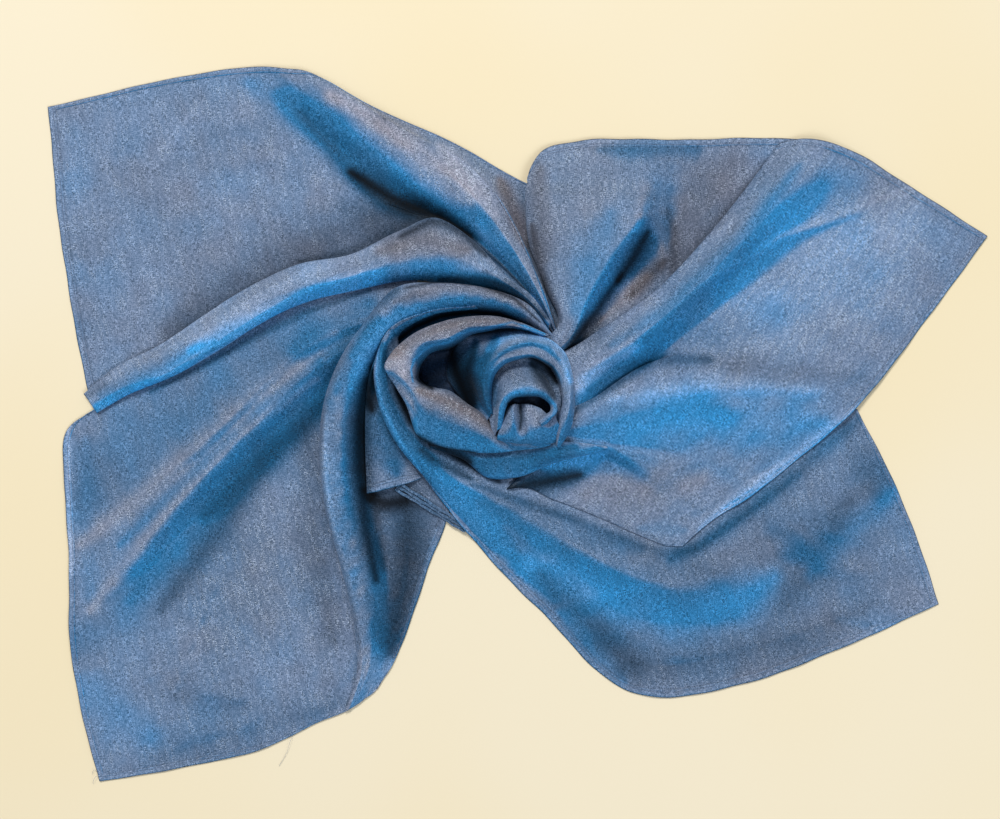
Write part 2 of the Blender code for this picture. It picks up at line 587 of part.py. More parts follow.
def main():
    for obj in list(bpy.data.objects):
        bpy.data.objects.remove(obj)
    voile = cloth_material("shot_voile", SHOT_BLUE, 0.45)
    folded = cloth_material("folded_voile", DEEP_BLUE, 0.6)

    def panel(name, points, below=(), cell=CELL):
        grid = in_frame(surface(points, cell))
        if below:
            grid = laid_over(grid, below)
        return wall(name, grid, voile)

    northwest = panel("panel_northwest", NORTHWEST)
    southwest = panel("panel_southwest", SOUTHWEST)
    southwest_pleat = panel("pleat_southwest", SOUTHWEST_PLEAT, [southwest], PLEAT_CELL)
    hems = hem_layers(voile)
    flap = panel("flap_south", FLAP, [southwest_pleat, hems], ROLL_CELL)
    southeast = panel("panel_southeast", SOUTHEAST, [southwest_pleat, hems, flap], EAST_CELL)
    north = panel("panel_north", NORTH, [northwest], EAST_CELL)
    west_pleat = panel("pleat_west", WEST_PLEAT, [northwest, southwest], PLEAT_CELL)
    east = panel("panel_east", EAST, [north, southeast], EAST_CELL)
    petal = panel("petal_south", SOUTH_PETAL, [southeast, east], ROLL_CELL)
    outer = panel("roll_outer", OUTER_ROLL, [southeast, petal], ROLL_CELL)
    middle = panel("roll_middle", MIDDLE_ROLL, [], ROLL_CELL)
    inner = panel("roll_inner", INNER_ROLL, [], ROLL_CELL)
    centre = panel("fold_centre", CENTRE_FOLD, [], ROLL_CELL)
    shown = [northwest, southwest, southwest_pleat, flap, southeast, north, west_pleat, east]
    core(folded, [*shown, petal, outer, middle, inner, centre])


main()
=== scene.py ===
"""A square shot-voile shawl laid on a table and twirled at its middle into a rosette.

Every stretch of the cloth that shows is one thin shell, drawn at real size in the order the cloth
lies: flat panels first, then the pleats on them, then the rolls of the rosette, hems and threads.
Places are millimetres on a layout sheet as an eye sees them from 1.5 m straight above: east and
south from the sheet's top left corner, and up from the table.
"""

import bpy
import numpy as np
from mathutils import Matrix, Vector
from mathutils.bvhtree import BVHTree


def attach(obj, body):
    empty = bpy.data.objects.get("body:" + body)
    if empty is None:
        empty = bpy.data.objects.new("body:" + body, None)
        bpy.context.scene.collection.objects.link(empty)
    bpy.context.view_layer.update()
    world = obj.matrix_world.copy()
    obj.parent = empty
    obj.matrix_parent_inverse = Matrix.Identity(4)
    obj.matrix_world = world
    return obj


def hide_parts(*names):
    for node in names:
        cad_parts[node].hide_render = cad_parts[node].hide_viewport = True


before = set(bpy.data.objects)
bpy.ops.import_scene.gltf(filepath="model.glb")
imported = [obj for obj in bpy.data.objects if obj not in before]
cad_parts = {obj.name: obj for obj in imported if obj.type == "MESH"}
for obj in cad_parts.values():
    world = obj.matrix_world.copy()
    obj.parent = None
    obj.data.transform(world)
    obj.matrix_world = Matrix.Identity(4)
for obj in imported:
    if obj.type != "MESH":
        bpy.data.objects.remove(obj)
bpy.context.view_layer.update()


# Camera. The photograph looks straight down on the laid cloth with its far side at the top, so the
# camera hangs 1.5 m over the table, a little left of and above the cloth's middle.

MM = 0.001
EYE = (500.0, 409.5, 1500.0)
SHEET_MIDDLE = (518.0, 426.0)
VIEW_WIDTH = 1.0

camera_data = bpy.data.cameras.new("camera_over_table")
camera_data.sensor_width = 36.0
camera_data.lens = camera_data.sensor_width * EYE[2] * MM / VIEW_WIDTH
camera_data.clip_end = 100.0
camera = bpy.data.objects.new("camera_over_table", camera_data)
camera.location = ((EYE[0] - SHEET_MIDDLE[0]) * MM, (SHEET_MIDDLE[1] - EYE[1]) * MM, EYE[2] * MM)
bpy.context.scene.collection.objects.link(camera)
bpy.context.scene.camera = camera


# North-west panel. The real piece is the top left corner of the square of shimmer voile. It lies flat
# on the table and climbs in two ridges to the rosette. Its two edges are turned twice and stitched.

CLOTH_THICKNESS = 0.6
LAYER_GAP = 0.5
PANEL_CELL = 2.6
CORNER_SHARE = 0.06


def ribs(columns, *rows):
    """A stretch's table: each row is a fold's name and its points, one for each named column."""
    points = np.array([row[1:] for row in rows], float)
    assert points.shape[1] == len(columns) - 1
    return points


def slopes(values, knots, limited):
    """Slopes at the knots of a smooth curve through values. Limited slopes never overshoot them."""
    steps = np.diff(knots).reshape(-1, *[1] * (values.ndim - 1))
    secants = np.diff(values, axis=0) / steps
    before, after = secants[:-1], secants[1:]
    inner = (before * steps[1:] + after * steps[:-1]) / (steps[1:] + steps[:-1])
    if limited:
        most = 3 * np.minimum(abs(before), abs(after))
        inner = np.where(before * after <= 0, 0, np.clip(inner, -most, most))
    return np.concatenate([secants[:1], inner, secants[-1:]])


def through(values, knots, at, limited=False):
    """Values of the smooth curve through the given values, at new places along its knots."""
    slope = slopes(values, knots, limited)
    i = np.clip(np.searchsorted(knots, at, side="right") - 1, 0, len(knots) - 2)
    shape = (-1, *[1] * (values.ndim - 1))
    gap = (knots[i + 1] - knots[i]).reshape(shape)
    t = ((at - knots[i]) / (knots[i + 1] - knots[i])).reshape(shape)
    return (
        values[i] * (2 * t**3 - 3 * t**2 + 1)
        + slope[i] * gap * (t**3 - 2 * t**2 + t)
        + values[i + 1] * (3 * t**2 - 2 * t**3)
        + slope[i + 1] * gap * (t**3 - t**2)
    )


def smooth_points(points, knots, at):
    """Points along a curve: the plan is free to swing, and the height keeps within its rows."""
    plan = through(points[..., :2], knots, at)
    height = through(points[..., 2:], knots, at, limited=True)
    return np.concatenate([plan, height], axis=-1)


def run_along(points):
    """How far along a line of points each one is."""
    return np.concatenate([[0.0], np.cumsum(np.linalg.norm(np.diff(points, axis=0), axis=1))])


def mean_knots(points):
    """Knots along the first axis, as far apart as the points are on average."""
    chords = np.linalg.norm(np.diff(points, axis=0), axis=-1)
    return np.concatenate([[0.0], np.cumsum(chords.mean(axis=tuple(range(1, chords.ndim))))])


def pointed(table, *corners):
    """The table with a rib close to each side of its corner ribs, so that the hem turns sharply."""
    knots = mean_knots(table)
    close = []
    for corner in corners:
        for other in (corner - 1, corner + 1):
            if other < len(table):
                at = knots[corner] + (knots[other] - knots[corner]) * CORNER_SHARE
                rib = smooth_points(table, knots, np.array([at]))[0]
                rib[-1] = table[corner][-1] + (table[other][-1] - table[corner][-1]) * CORNER_SHARE
                close.append((at, rib))
    every = sorted([*zip(knots, table), *close], key=lambda item: item[0])
    return np.array([rib for at, rib in every])


def stations(knots, cell):
    """Places along the knots, evenly spread between each two of them and never skipping one."""
    spans = []
    for start, end in zip(knots, knots[1:]):
        spans.append(np.linspace(start, end, max(1, round((end - start) / cell)) + 1)[:-1])
    return np.concatenate([*spans, knots[-1:]])


def surface(points, cell):
    """A fine grid of points on the smooth surface through a table of ribs."""
    across = mean_knots(points)
    along = mean_knots(points.swapaxes(0, 1))
    grid = smooth_points(points.swapaxes(0, 1), along, stations(along, cell))
    return smooth_points(grid.swapaxes(0, 1), across, stations(across, cell))


def path_distance(plan, path):
    """How far each place is from a path of straight runs, and how far along the path, 0 to 1."""
    path = np.array(path, float)
    lengths = np.linalg.norm(np.diff(path, axis=0), axis=1)
    starts = run_along(path)
    nearest = np.full(plan.shape[:-1], np.inf)
    along = np.zeros(plan.shape[:-1])
    for start, length, a, b in zip(starts, lengths, path, path[1:]):
        t = np.clip(((plan - a) @ (b - a)) / length**2, 0, 1)
        far = np.linalg.norm(plan - (a + t[..., None] * (b - a)), axis=-1)
        closer = far < nearest
        nearest = np.where(closer, far, nearest)
        along = np.where(closer, (start + t * length) / starts[-1], along)
    return nearest, along


# A crease dies out towards its ends, but never quite: its ease is kept this far from them.
CREASE_ENDS = (0.02, 0.98)
CREASE_TAPER = 0.7


def creased(grid, rows):
    """The grid with soft ridges and troughs: each row is a name, width, height and the fold's path."""
    grid = grid.copy()
    for name, width, height, *path in rows:
        far, along = path_distance(grid[..., :2], path)
        ease = np.sin(np.pi * np.clip(along, *CREASE_ENDS)) ** CREASE_TAPER
        grid[..., 2] += height * ease * np.exp(-((far / width) ** 2))
    return grid


# Waves of many lengths and ways are added up, each bent a little, and brought back to about -1 to 1.
WAVE_COUNT = 14
WAVE_LENGTHS = (1.3, 3.6)
WAVE_BEND = 0.9
WAVE_SUM = 4.5


def waves(grid, size, seed):
    """Soft uneven waves between about -1 and 1, the size of their humps in millimetres."""
    rng = np.random.default_rng(seed)
    east, south = grid[..., 0], grid[..., 1]
    total = np.zeros(east.shape)
    for turn in range(WAVE_COUNT):
        angle = rng.uniform(0, np.pi)
        length = size * rng.uniform(*WAVE_LENGTHS)
        phase = rng.uniform(0, 2 * np.pi)
        ahead = east * np.cos(angle) + south * np.sin(angle)
        aside = east * np.sin(angle) - south * np.cos(angle)
        bend = np.sin(aside / (length * WAVE_BEND) + phase * 3)
        total += np.sin(2 * np.pi * ahead / length + phase + bend)
    return total / WAVE_SUM


# The hem's lines from the flat cloth to the edge: how far in from the edge each one is and how far it
# is raised, in millimetres, and how much lighter or darker it is than the cloth: painted shade at its
# foot, its seam and its rolled edge, and a lighter raised band where the cloth lies double.
HEM = (
    ("flat cloth", 13.0, 0.0, 0.0),
    ("still flat", 11.0, 0.0, 0.0),
    ("pucker", 9.5, 0.0, -0.04),
    ("foot", 8.4, 0.02, -0.24),
    ("step", 7.7, 0.12, -0.10),
    ("inner fold", 7.0, 0.45, 0.10),
    ("beside seam", 6.3, 0.52, 0.04),
    ("seam", 5.5, 0.34, -0.22),
    ("beside seam", 4.4, 0.52, 0.06),
    ("band", 2.8, 0.50, 0.12),
    ("outer fold", 1.3, 0.48, 0.10),
    ("roll", 0.5, 0.34, -0.40),
    ("edge", 0.0, 0.10, -0.70),
)
SEAM_COLUMN = -6

# Puckers lie along the inner fold, and the edge itself wavers in and out, in millimetres.
PUCKER_HEIGHT = 0.26
PUCKER_INSET = 7.5
PUCKER_WIDTH = 3
EDGE_WAVER = 0.28
WAVER_WIDTH = 6


def hemmed(grid, seed):
    """The grid with its last column turned as a narrow hem: a raised band with slight puckers."""
    inset = np.array([row[1] for row in HEM])
    raised = np.array([row[2] for row in HEM])
    steps = np.linalg.norm(np.diff(grid, axis=1), axis=-1)
    inward = np.cumsum(steps[:, ::-1], axis=1)[:, ::-1]
    inward = np.concatenate([inward, np.zeros((len(grid), 1))], axis=1)
    kept = np.flatnonzero(inward.mean(axis=0) > inset[0] + 2)[-1] + 1
    run = run_along(grid[:, -1, :2])
    pucker = np.sin(run / 2.1 + 2 * np.sin(run / 19 + seed)) * np.sin(run / 31 + seed)
    waver = np.sin(run / 17 + seed) + np.sin(run / 7.3 + 2 * seed) + np.sin(run / 41 + 3 * seed)
    rows = []
    for row, far, tuck, shift in zip(grid, inward, pucker, waver):
        squeeze = min(1.0, 0.9 * far[kept - 1] / inset[0])
        fine = np.stack([np.interp(inset * squeeze, far[::-1], row[::-1, k]) for k in range(3)], axis=-1)
        outward = (row[-1, :2] - row[kept - 1, :2]) / max(far[kept - 1], 1e-6)
        fine[:, :2] += outward * (EDGE_WAVER * shift * np.exp(-((inset / WAVER_WIDTH) ** 2)))[:, None]
        puckered = PUCKER_HEIGHT * tuck * np.exp(-(((inset - PUCKER_INSET) / PUCKER_WIDTH) ** 2))
        fine[:, 2] += raised + puckered
        rows.append(np.concatenate([row[:kept], fine]))
    return np.array(rows)


def in_frame(grid):
    """Layout points in millimetres, as the eye sees them on the table, as model points in metres."""
    east, south, up = np.moveaxis(grid, -1, 0)
    nearer = 1 - up / EYE[2]
    east = EYE[0] + (east - EYE[0]) * nearer - SHEET_MIDDLE[0]
    north = SHEET_MIDDLE[1] - EYE[1] - (south - EYE[1]) * nearer
    return np.stack([east, north, up], axis=-1) * MM


def normals(grid):
    """Unit normals of a grid of points, on the side that faces up on most of it."""
    crossed = np.cross(np.gradient(grid, axis=0), np.gradient(grid, axis=1))
    crossed /= np.maximum(np.linalg.norm(crossed, axis=-1, keepdims=True), 1e-12)
    return crossed if crossed[..., 2].sum() > 0 else -crossed


def spread(values, reach, pick):
    """Values over a grid, each replaced by the greatest or mean of those within reach of it."""
    for axis in (0, 1):
        padding = [(0, 0), (0, 0)]
        padding[axis] = (reach, reach)
        padded = np.pad(values, padding, mode="edge")
        size = values.shape[axis]
        values = pick([np.take(padded, range(k, k + size), axis=axis) for k in range(2 * reach + 1)], axis=0)
    return values


def feed(tree, node, *wires):
    """Give a shader node its inputs. Each wire is an input and the value or socket that feeds it."""
    for name, source in wires:
        if isinstance(source, bpy.types.NodeSocket):
            tree.links.new(source, node.inputs[name])
        else:
            node.inputs[name].default_value = source


def wired(tree, kind, *wires, **settings):
    """A new shader node with its settings and its inputs."""
    made = tree.nodes.new(kind)
    for key, value in settings.items():
        setattr(made, key, value)
    feed(tree, made, *wires)
    return made


def maths(tree, operation, first, second, clamp=False):
    """The outcome of a sum on two values or sockets."""
    made = wired(tree, "ShaderNodeMath", (0, first), (1, second), operation=operation, use_clamp=clamp)
    return made.outputs[0]


def times(tree, first, *others):
    """The product of values or sockets."""
    for other in others:
        first = maths(tree, "MULTIPLY", first, other)
    return first


def blended(tree, share, first, second):
    """A colour between two others."""
    mix = wired(tree, "ShaderNodeMix", (0, share), (6, first), (7, second), data_type="RGBA")
    return mix.outputs[2]


def ranged(tree, value, low, high, to_low, to_high):
    """A value carried smoothly from one range to another."""
    made = wired(
        tree, "ShaderNodeMapRange", ("Value", value), ("From Min", low), ("From Max", high),
        ("To Min", to_low), ("To Max", to_high), interpolation_type="SMOOTHSTEP",
    )
    return made.outputs[0]


def stretched_noise(tree, spot, wide, long, detail):
    """Noise drawn out along the threads: its grains are this wide and long in metres."""
    stretch = (1 / wide, 1 / long, 1.0)
    place = wired(tree, "ShaderNodeVectorMath", (0, spot), (1, stretch), operation="MULTIPLY").outputs[0]
    noise = wired(
        tree, "ShaderNodeTexNoise", ("Vector", place), ("Scale", 1.0), ("Detail", detail),
        noise_dimensions="2D",
    )
    return noise.outputs[0]


# The three attributes painted on the cloth: how blue it is, partly painted by the way it faces the light; how
# light it is, painted light and shade with a little random variation; and its painted sparkle.
CLOTH_TONES = ("shot", "tone_and_painted_light", "glint")
CLOTH_COLOURS = ("Flat Colour", "Slope Colour", "Warm Colour", "Sparkle Colour")

# Each noise in the weave: its grains' width and length in metres, and its detail.
WEAVE_NOISES = {
    "warp threads": (0.0007, 0.0042, 1.5),
    "weft threads": (0.0042, 0.0007, 1.5),
    "grain": (0.0008, 0.0010, 2.5),
    "blotches": (0.05, 0.07, 2.0),
    "streaks": (0.0040, 0.020, 1.5),
    "bands along": (0.007, 0.10, 1.5),
    "bands across": (0.09, 0.008, 1.5),
}
THREAD_SHARE = 0.34
GRAIN_SHARE = 0.66
MEAN_LIGHT = 0.87


def shimmer_weave():
    """Shimmer voile: crossed slubby threads, two thread colours that trade places, and pale sparkles.

    The sparkles are painted glints of light, and the cloth's lightness carries its painted light and shade.
    """
    tree = bpy.data.node_groups.new("shimmer_weave", "ShaderNodeTree")
    for name in CLOTH_COLOURS:
        tree.interface.new_socket(name=name, in_out="INPUT", socket_type="NodeSocketColor")
    for name, kind in (("Color", "Color"), ("Roughness", "Float"), ("Height", "Float")):
        tree.interface.new_socket(name=name, in_out="OUTPUT", socket_type="NodeSocket" + kind)
    given = tree.nodes.new("NodeGroupInput").outputs
    spot = wired(tree, "ShaderNodeUVMap", uv_map="threads").outputs[0]
    shot, tone_and_painted_light, glint = (
        wired(tree, "ShaderNodeAttribute", attribute_name=name).outputs["Fac"] for name in CLOTH_TONES
    )
    warp, weft, grain, blotches, streaks, along, across = (
        stretched_noise(tree, spot, *noise) for noise in WEAVE_NOISES.values()
    )
    threads = times(tree, ranged(tree, times(tree, warp, weft), 0.14, 0.36, 0.0, 1.0), THREAD_SHARE)
    relief = maths(tree, "ADD", threads, times(tree, grain, GRAIN_SHARE))

    # How light the cloth is: grain, deeper in some streaks than in others, then soft bands and blotches,
    # then the painted light and shade on each point.
    depth = ranged(tree, streaks, 0.38, 0.62, 0.60, 1.30)
    light = times(tree, ranged(tree, relief, 0.30, 0.72, -0.33, 0.50), depth)
    light = maths(tree, "ADD", light, MEAN_LIGHT)
    for soft, amount in ((blotches, 0.05), (along, 0.05), (across, 0.04)):
        light = times(tree, light, ranged(tree, soft, 0.3, 0.7, 1 - amount, 1 + amount))
    light = times(tree, light, tone_and_painted_light)

    # Which thread shows: the flat colour at 0, the slope colour at 1 and the warm colour at -1. Where
    # each shows is partly painted light: the shot turns blue where a slope faces the near side's cool light.
    share = maths(tree, "ADD", shot, ranged(tree, relief, 0.26, 0.72, 0.12, -0.12))
    share = maths(tree, "ADD", share, ranged(tree, blotches, 0.3, 0.7, -0.08, 0.08))
    sloped = maths(tree, "MAXIMUM", share, 0.0)
    warm = maths(tree, "MULTIPLY", share, -1.0, clamp=True)
    colour = blended(tree, sloped, given["Flat Colour"], given["Slope Colour"])
    colour = blended(tree, warm, colour, given["Warm Colour"])
    colour = wired(tree, "ShaderNodeVectorMath", (0, colour), ("Scale", light), operation="SCALE").outputs[0]

    # Sparkles, painted glints of light: the highest grain on weft threads, more of them in some streaks
    # and few on the slopes, dimmed in the painted shade.
    painted_glints = times(
        tree,
        ranged(tree, grain, 0.52, 0.68, 0.0, 1.0),
        ranged(tree, weft, 0.4, 0.66, 0.3, 1.0),
        ranged(tree, streaks, 0.42, 0.62, 0.45, 1.6),
        ranged(tree, shot, 0.10, 0.65, 1.0, 0.12),
        glint,
    )
    painted_glints = maths(tree, "MULTIPLY", painted_glints, tone_and_painted_light, clamp=True)
    colour = blended(tree, painted_glints, colour, given["Sparkle Colour"])
    roughness = ranged(tree, relief, 0.25, 0.75, 0.62, 0.36)
    wired(tree, "NodeGroupOutput", ("Color", colour), ("Roughness", roughness), ("Height", relief))
    return tree


def painted(name):
    """A new material, its nodes and its shader."""
    made = bpy.data.materials.new(name)
    made.use_nodes = True
    return made, made.node_tree, made.node_tree.nodes["Principled BSDF"]


def shot_cloth(name, weave, flat, slope, warm, sparkle, sheen):
    """A cloth material whose colour turns from flat to slope with the way the cloth faces, as its
    attributes paint it, with their painted light, shade and sparkles.
    """
    made, tree, shader = painted(name)
    colours = zip(CLOTH_COLOURS, (flat, slope, warm, sparkle))
    wires = [(socket, (*colour, 1.0)) for socket, colour in colours]
    woven = wired(tree, "ShaderNodeGroup", *wires, node_tree=weave).outputs
    raised = ("Height", woven["Height"])
    bump = wired(tree, "ShaderNodeBump", raised, ("Strength", 0.35), ("Distance", 0.0004)).outputs[0]
    feed(
        tree, shader,
        ("Base Color", woven["Color"]),
        ("Roughness", woven["Roughness"]),
        ("Normal", bump),
        ("Specular IOR Level", 0.1),
        ("Sheen Weight", sheen),
        ("Sheen Roughness", 0.45),
        ("Sheen Tint", (0.72, 0.82, 1.0, 1.0)),
    )
    return made


weave = shimmer_weave()
# The flat mauve and slope blue are the cloth's own two thread colours, shown where the painted shot puts
# them; the warm colour shows on the tan and brown patches that strokes mark, and the sparkle colour paints
# glints of light.
shot_voile = shot_cloth(
    "shot_voile", weave,
    flat=(0.178, 0.24, 0.37),
    slope=(0.022, 0.20, 0.45),
    warm=(0.30, 0.27, 0.31),
    sparkle=(0.58, 0.68, 0.82),
    sheen=0.05,
)

# What is laid so far: each shell's net of faces and box by its name, and each hem's line of stitches.
laid = {}
seams = []

# Rays that feel for the cloth below start well over it, and a lift is eased off over some millimetres.
DOWN = Vector((0, 0, -1))
SKY = 1.0
NEAR = 2 * MM
EASE_REACH = 4.5


def remember(name, points, faces):
    """Keep a laid piece's net of faces and the corners of its box, for the cloth that goes over it."""
    points = np.reshape(points, (-1, 3))
    laid[name] = (BVHTree.FromPolygons(points.tolist(), faces), points.min(axis=0), points.max(axis=0))


def laid_over(grid, below, cell):
    """The grid raised softly, just clear of the shells that lie below it."""
    lift = np.zeros(grid.shape[:2])
    for name in below:
        net, low, high = laid[name]
        for i, j in np.ndindex(*lift.shape):
            x, y, z = grid[i, j]
            if low[0] < x < high[0] and low[1] < y < high[1] and z < high[2] + NEAR:
                hit = net.ray_cast(Vector((x, y, SKY)), DOWN)[0]
                if hit is not None:
                    lift[i, j] = max(lift[i, j], hit.z + (CLOTH_THICKNESS + LAYER_GAP) * MM - z)
    reach = max(1, round(EASE_REACH / cell))
    lift = spread(spread(spread(lift, reach, np.max), reach, np.mean), max(1, reach // 2), np.mean)
    grid = grid.copy()
    grid[..., 2] += lift
    return grid


# A stroke's half width at its ends, and what is added at its middle, as shares of its given width.
BRUSH_TIP = 0.42
BRUSH_BELLY = 0.58
BRUSH_TAPER = 0.6


def toned(grid, rows):
    """How blue, how light and how sparkling the shot cloth is, from strokes laid on it.

    Each row is a stroke's name, its width, what it adds to each of the three, and its path. The strokes
    paint shade in gullies and under folds, highlights on crests and edges, and sparkles of light.
    """
    shot, tone_and_painted_light, glint = np.zeros(grid.shape[:2]), np.ones(grid.shape[:2]), np.zeros(grid.shape[:2])
    for name, width, bluer, lighter, brighter, *path in rows:
        far, along = path_distance(grid[..., :2], path)
        brush = width * (BRUSH_TIP + BRUSH_BELLY * np.sin(np.pi * along) ** BRUSH_TAPER)
        share = np.exp(-((far / brush) ** 2.0))
        shot += bluer * share
        tone_and_painted_light *= 1 + lighter * share
        glint += brighter * share
    return shot, tone_and_painted_light, glint


# Slopes that face a stretch's lean, towards the near side, are painted blue as the shot cloth looks in the
# cool near light, and those turned away from it get painted shade.
SLOPE_START = 0.03
SLOPE_RANGE = 0.42
FLAT_SHOT = 0.12
SLOPE_SHOT = 0.88
AWAY_RANGE = 0.5
AWAY_SHADE = 0.14
MEAN_GLINT = 0.28
TONE_LIMITS = (0.01, 1.7)

# How much soft waves vary each of the three, and how wide the waves are in millimetres.
SHOT_SWAY, SHOT_WAVES = 0.08, 26
TONE_SWAY, TONE_WAVES = 0.04, 40
GLINT_SWAY, GLINT_WAVES = 0.25, 14


def shaded(layout, facing, strokes, lean, hem, seed):
    """The cloth's three attributes: blue painted on slopes that face the lean and painted shade on those
    turned away, soft random waves, the hem's painted shade and the strokes' painted light, shade and sparkle.
    """
    shot, tone_and_painted_light, glint = toned(layout, strokes)
    lean = np.array([*lean, 0.0]) / np.linalg.norm(lean)
    slope = np.clip((facing @ lean - SLOPE_START) / SLOPE_RANGE, 0, 1)
    slope = slope * slope * (3 - 2 * slope)
    away = np.clip(-(facing @ lean) / AWAY_RANGE, 0, 1)
    shot = FLAT_SHOT + SLOPE_SHOT * slope + shot + SHOT_SWAY * waves(layout, SHOT_WAVES, seed + 5)
    if hem:
        tone_and_painted_light[:, -len(HEM):] *= [1 + row[3] for row in HEM]
    tone_and_painted_light = tone_and_painted_light * (1 - AWAY_SHADE * away + TONE_SWAY * waves(layout, TONE_WAVES, seed + 9))
    glint = MEAN_GLINT + glint + GLINT_SWAY * waves(layout, GLINT_WAVES, seed + 3)
    return np.clip(shot, -1, 1), np.clip(tone_and_painted_light, *TONE_LIMITS), np.clip(glint, 0, 1)


def threaded(grid, threads):
    """Each point's place across and along the threads in metres. They run with the cloth or at an angle."""
    if threads is None:
        step_u = np.linalg.norm(np.diff(grid, axis=0, prepend=grid[:1]), axis=-1)
        step_v = np.linalg.norm(np.diff(grid, axis=1, prepend=grid[:, :1]), axis=-1)
        u = np.tile(np.cumsum(step_u.mean(axis=1))[:, None], (1, grid.shape[1]))
        v = np.cumsum(step_v, axis=1)
    else:
        c, s = np.cos(np.radians(threads)), np.sin(np.radians(threads))
        u = grid[..., 0] * c + grid[..., 1] * s
        v = grid[..., 1] * c - grid[..., 0] * s
    return np.stack([u, v], axis=-1).reshape(-1, 2)


def closed(grid, facing):
    """A grid of cloth as a thin closed shell: all its points, the faces of its top, and all its faces."""
    under = grid - facing * CLOTH_THICKNESS * MM
    under[..., 2] = np.maximum(under[..., 2], 0.0)
    count = facing[..., 0].size
    index = np.arange(count).reshape(grid.shape[:2])
    top = np.stack([index[:-1, :-1], index[1:, :-1], index[1:, 1:], index[:-1, 1:]], axis=-1).reshape(-1, 4)
    rim = np.array([*index[:, 0], *index[-1, 1:], *index[-2::-1, -1], *index[0, -2:0:-1]])
    after = np.roll(rim, -1)
    side = np.stack([rim, after, after + count, rim + count], axis=-1)
    corner = np.cross(grid[1, 0] - grid[0, 0], grid[0, 1] - grid[0, 0])
    if corner @ facing[0, 0] < 0:
        top = top[:, ::-1]
    else:
        side = side[:, ::-1]
    faces = np.concatenate([top, top[:, ::-1] + count, side])
    return np.concatenate([grid.reshape(-1, 3), under.reshape(-1, 3)]), top, faces


def placed(name, mesh, material):
    """The mesh in its material, standing in the scene."""
    mesh.materials.append(material)
    piece = bpy.data.objects.new(name, mesh)
    bpy.context.scene.collection.objects.link(piece)
    return piece


CRUMPLE_CELLS = 5.5
LEAST_CRUMPLE_CELL = 1.6


def shell(
    name, points, creases, strokes, below=(), cell=PANEL_CELL,
    lean=(0.15, -1.0), threads=None, hem=False, crumple=0.35, seed=1,
):
    """One stretch of cloth as a thin closed shell, with its thread directions, its shot colours and its
    painted light, shade and sparkles.
    """
    layout = creased(surface(points, cell), creases)
    layout[..., 2] += crumple * waves(layout, CRUMPLE_CELLS * max(cell, LEAST_CRUMPLE_CELL), seed)
    if hem:
        layout = hemmed(layout, seed)
    grid = laid_over(in_frame(layout), below, cell)
    grid[..., 2] = np.maximum(grid[..., 2], CLOTH_THICKNESS * MM)
    facing = normals(grid)
    corners, top, faces = closed(grid, facing)
    mesh = bpy.data.meshes.new(name)
    mesh.from_pydata(corners, [], faces.tolist())
    mesh.shade_smooth()
    for key, values in zip(CLOTH_TONES, shaded(layout, facing, strokes, lean, hem, seed)):
        layer = mesh.attributes.new(key, "FLOAT", "POINT")
        layer.data.foreach_set("value", np.tile(values.reshape(-1), 2).astype(np.float32))
    used = np.zeros(len(mesh.loops), np.int32)
    mesh.loops.foreach_get("vertex_index", used)
    spots = np.tile(threaded(grid, threads), (2, 1))[used]
    mesh.uv_layers.new(name="threads").data.foreach_set("uv", spots.reshape(-1).astype(np.float32))
    piece = placed(name, mesh, shot_voile)
    if hem:
        seams.append((grid[:, SEAM_COLUMN], facing[:, SEAM_COLUMN]))
    remember(name, grid, top.tolist())
    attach(piece, "root")
    return piece


NORTHWEST = pointed(
    ribs(
        ("fold", "tuck", "root", "shoulder", "middle", "reach", "hem"),
        ("under west pleat", (556, 340, 26), (549, 326, 30), (498, 277, 19), (400, 255, 3), (240, 308, 1),
         (90, 400, 1)),
        ("west pleat foot", (556, 339, 26), (547, 323, 29), (488, 262, 17), (382, 240, 2), (232, 272, 1),
         (81, 360, 1)),
        ("west hem", (556, 338, 26), (546, 321, 28), (480, 253, 13), (368, 228, 2), (215, 222, 1),
         (61, 240, 1)),
        ("corner", (556, 338, 26), (545, 319, 27), (474, 246, 9), (358, 212, 2), (208, 165, 1), (48, 107, 1)),
        ("north hem", (556, 337, 26), (545, 317, 26), (469, 239, 6), (356, 192, 3), (242, 124, 3),
         (150, 83, 1)),
        ("trough", (556, 337, 27), (545, 315, 26), (466, 232, 5), (402, 200, 3), (330, 140, 3), (255, 67, 2)),
        ("blue slope", (556, 336, 29), (546, 313, 31), (478, 228, 17), (414, 184, 13), (348, 132, 11),
         (284, 68, 4)),
        ("crest", (556, 335, 32), (547, 311, 37), (494, 220, 32), (438, 163, 27), (366, 110, 19),
         (312, 73, 5)),
        ("crest back", (557, 334, 32), (548, 309, 36), (506, 214, 27), (459, 160, 21), (402, 127, 13),
         (362, 101, 3)),
        ("second crest", (557, 334, 33), (549, 307, 37), (519, 236, 30), (498, 195, 23), (476, 166, 14),
         (452, 142, 3)),
        ("east edge", (559, 334, 24), (552, 306, 20), (543, 262, 7), (537, 226, 4), (530, 202, 2),
         (524, 182, 1)),
        ("under north", (565, 338, 20), (563, 328, 20), (553, 266, 3), (548, 226, 2), (541, 202, 1),
         (535, 186, 1)),
    ),
    3,
)
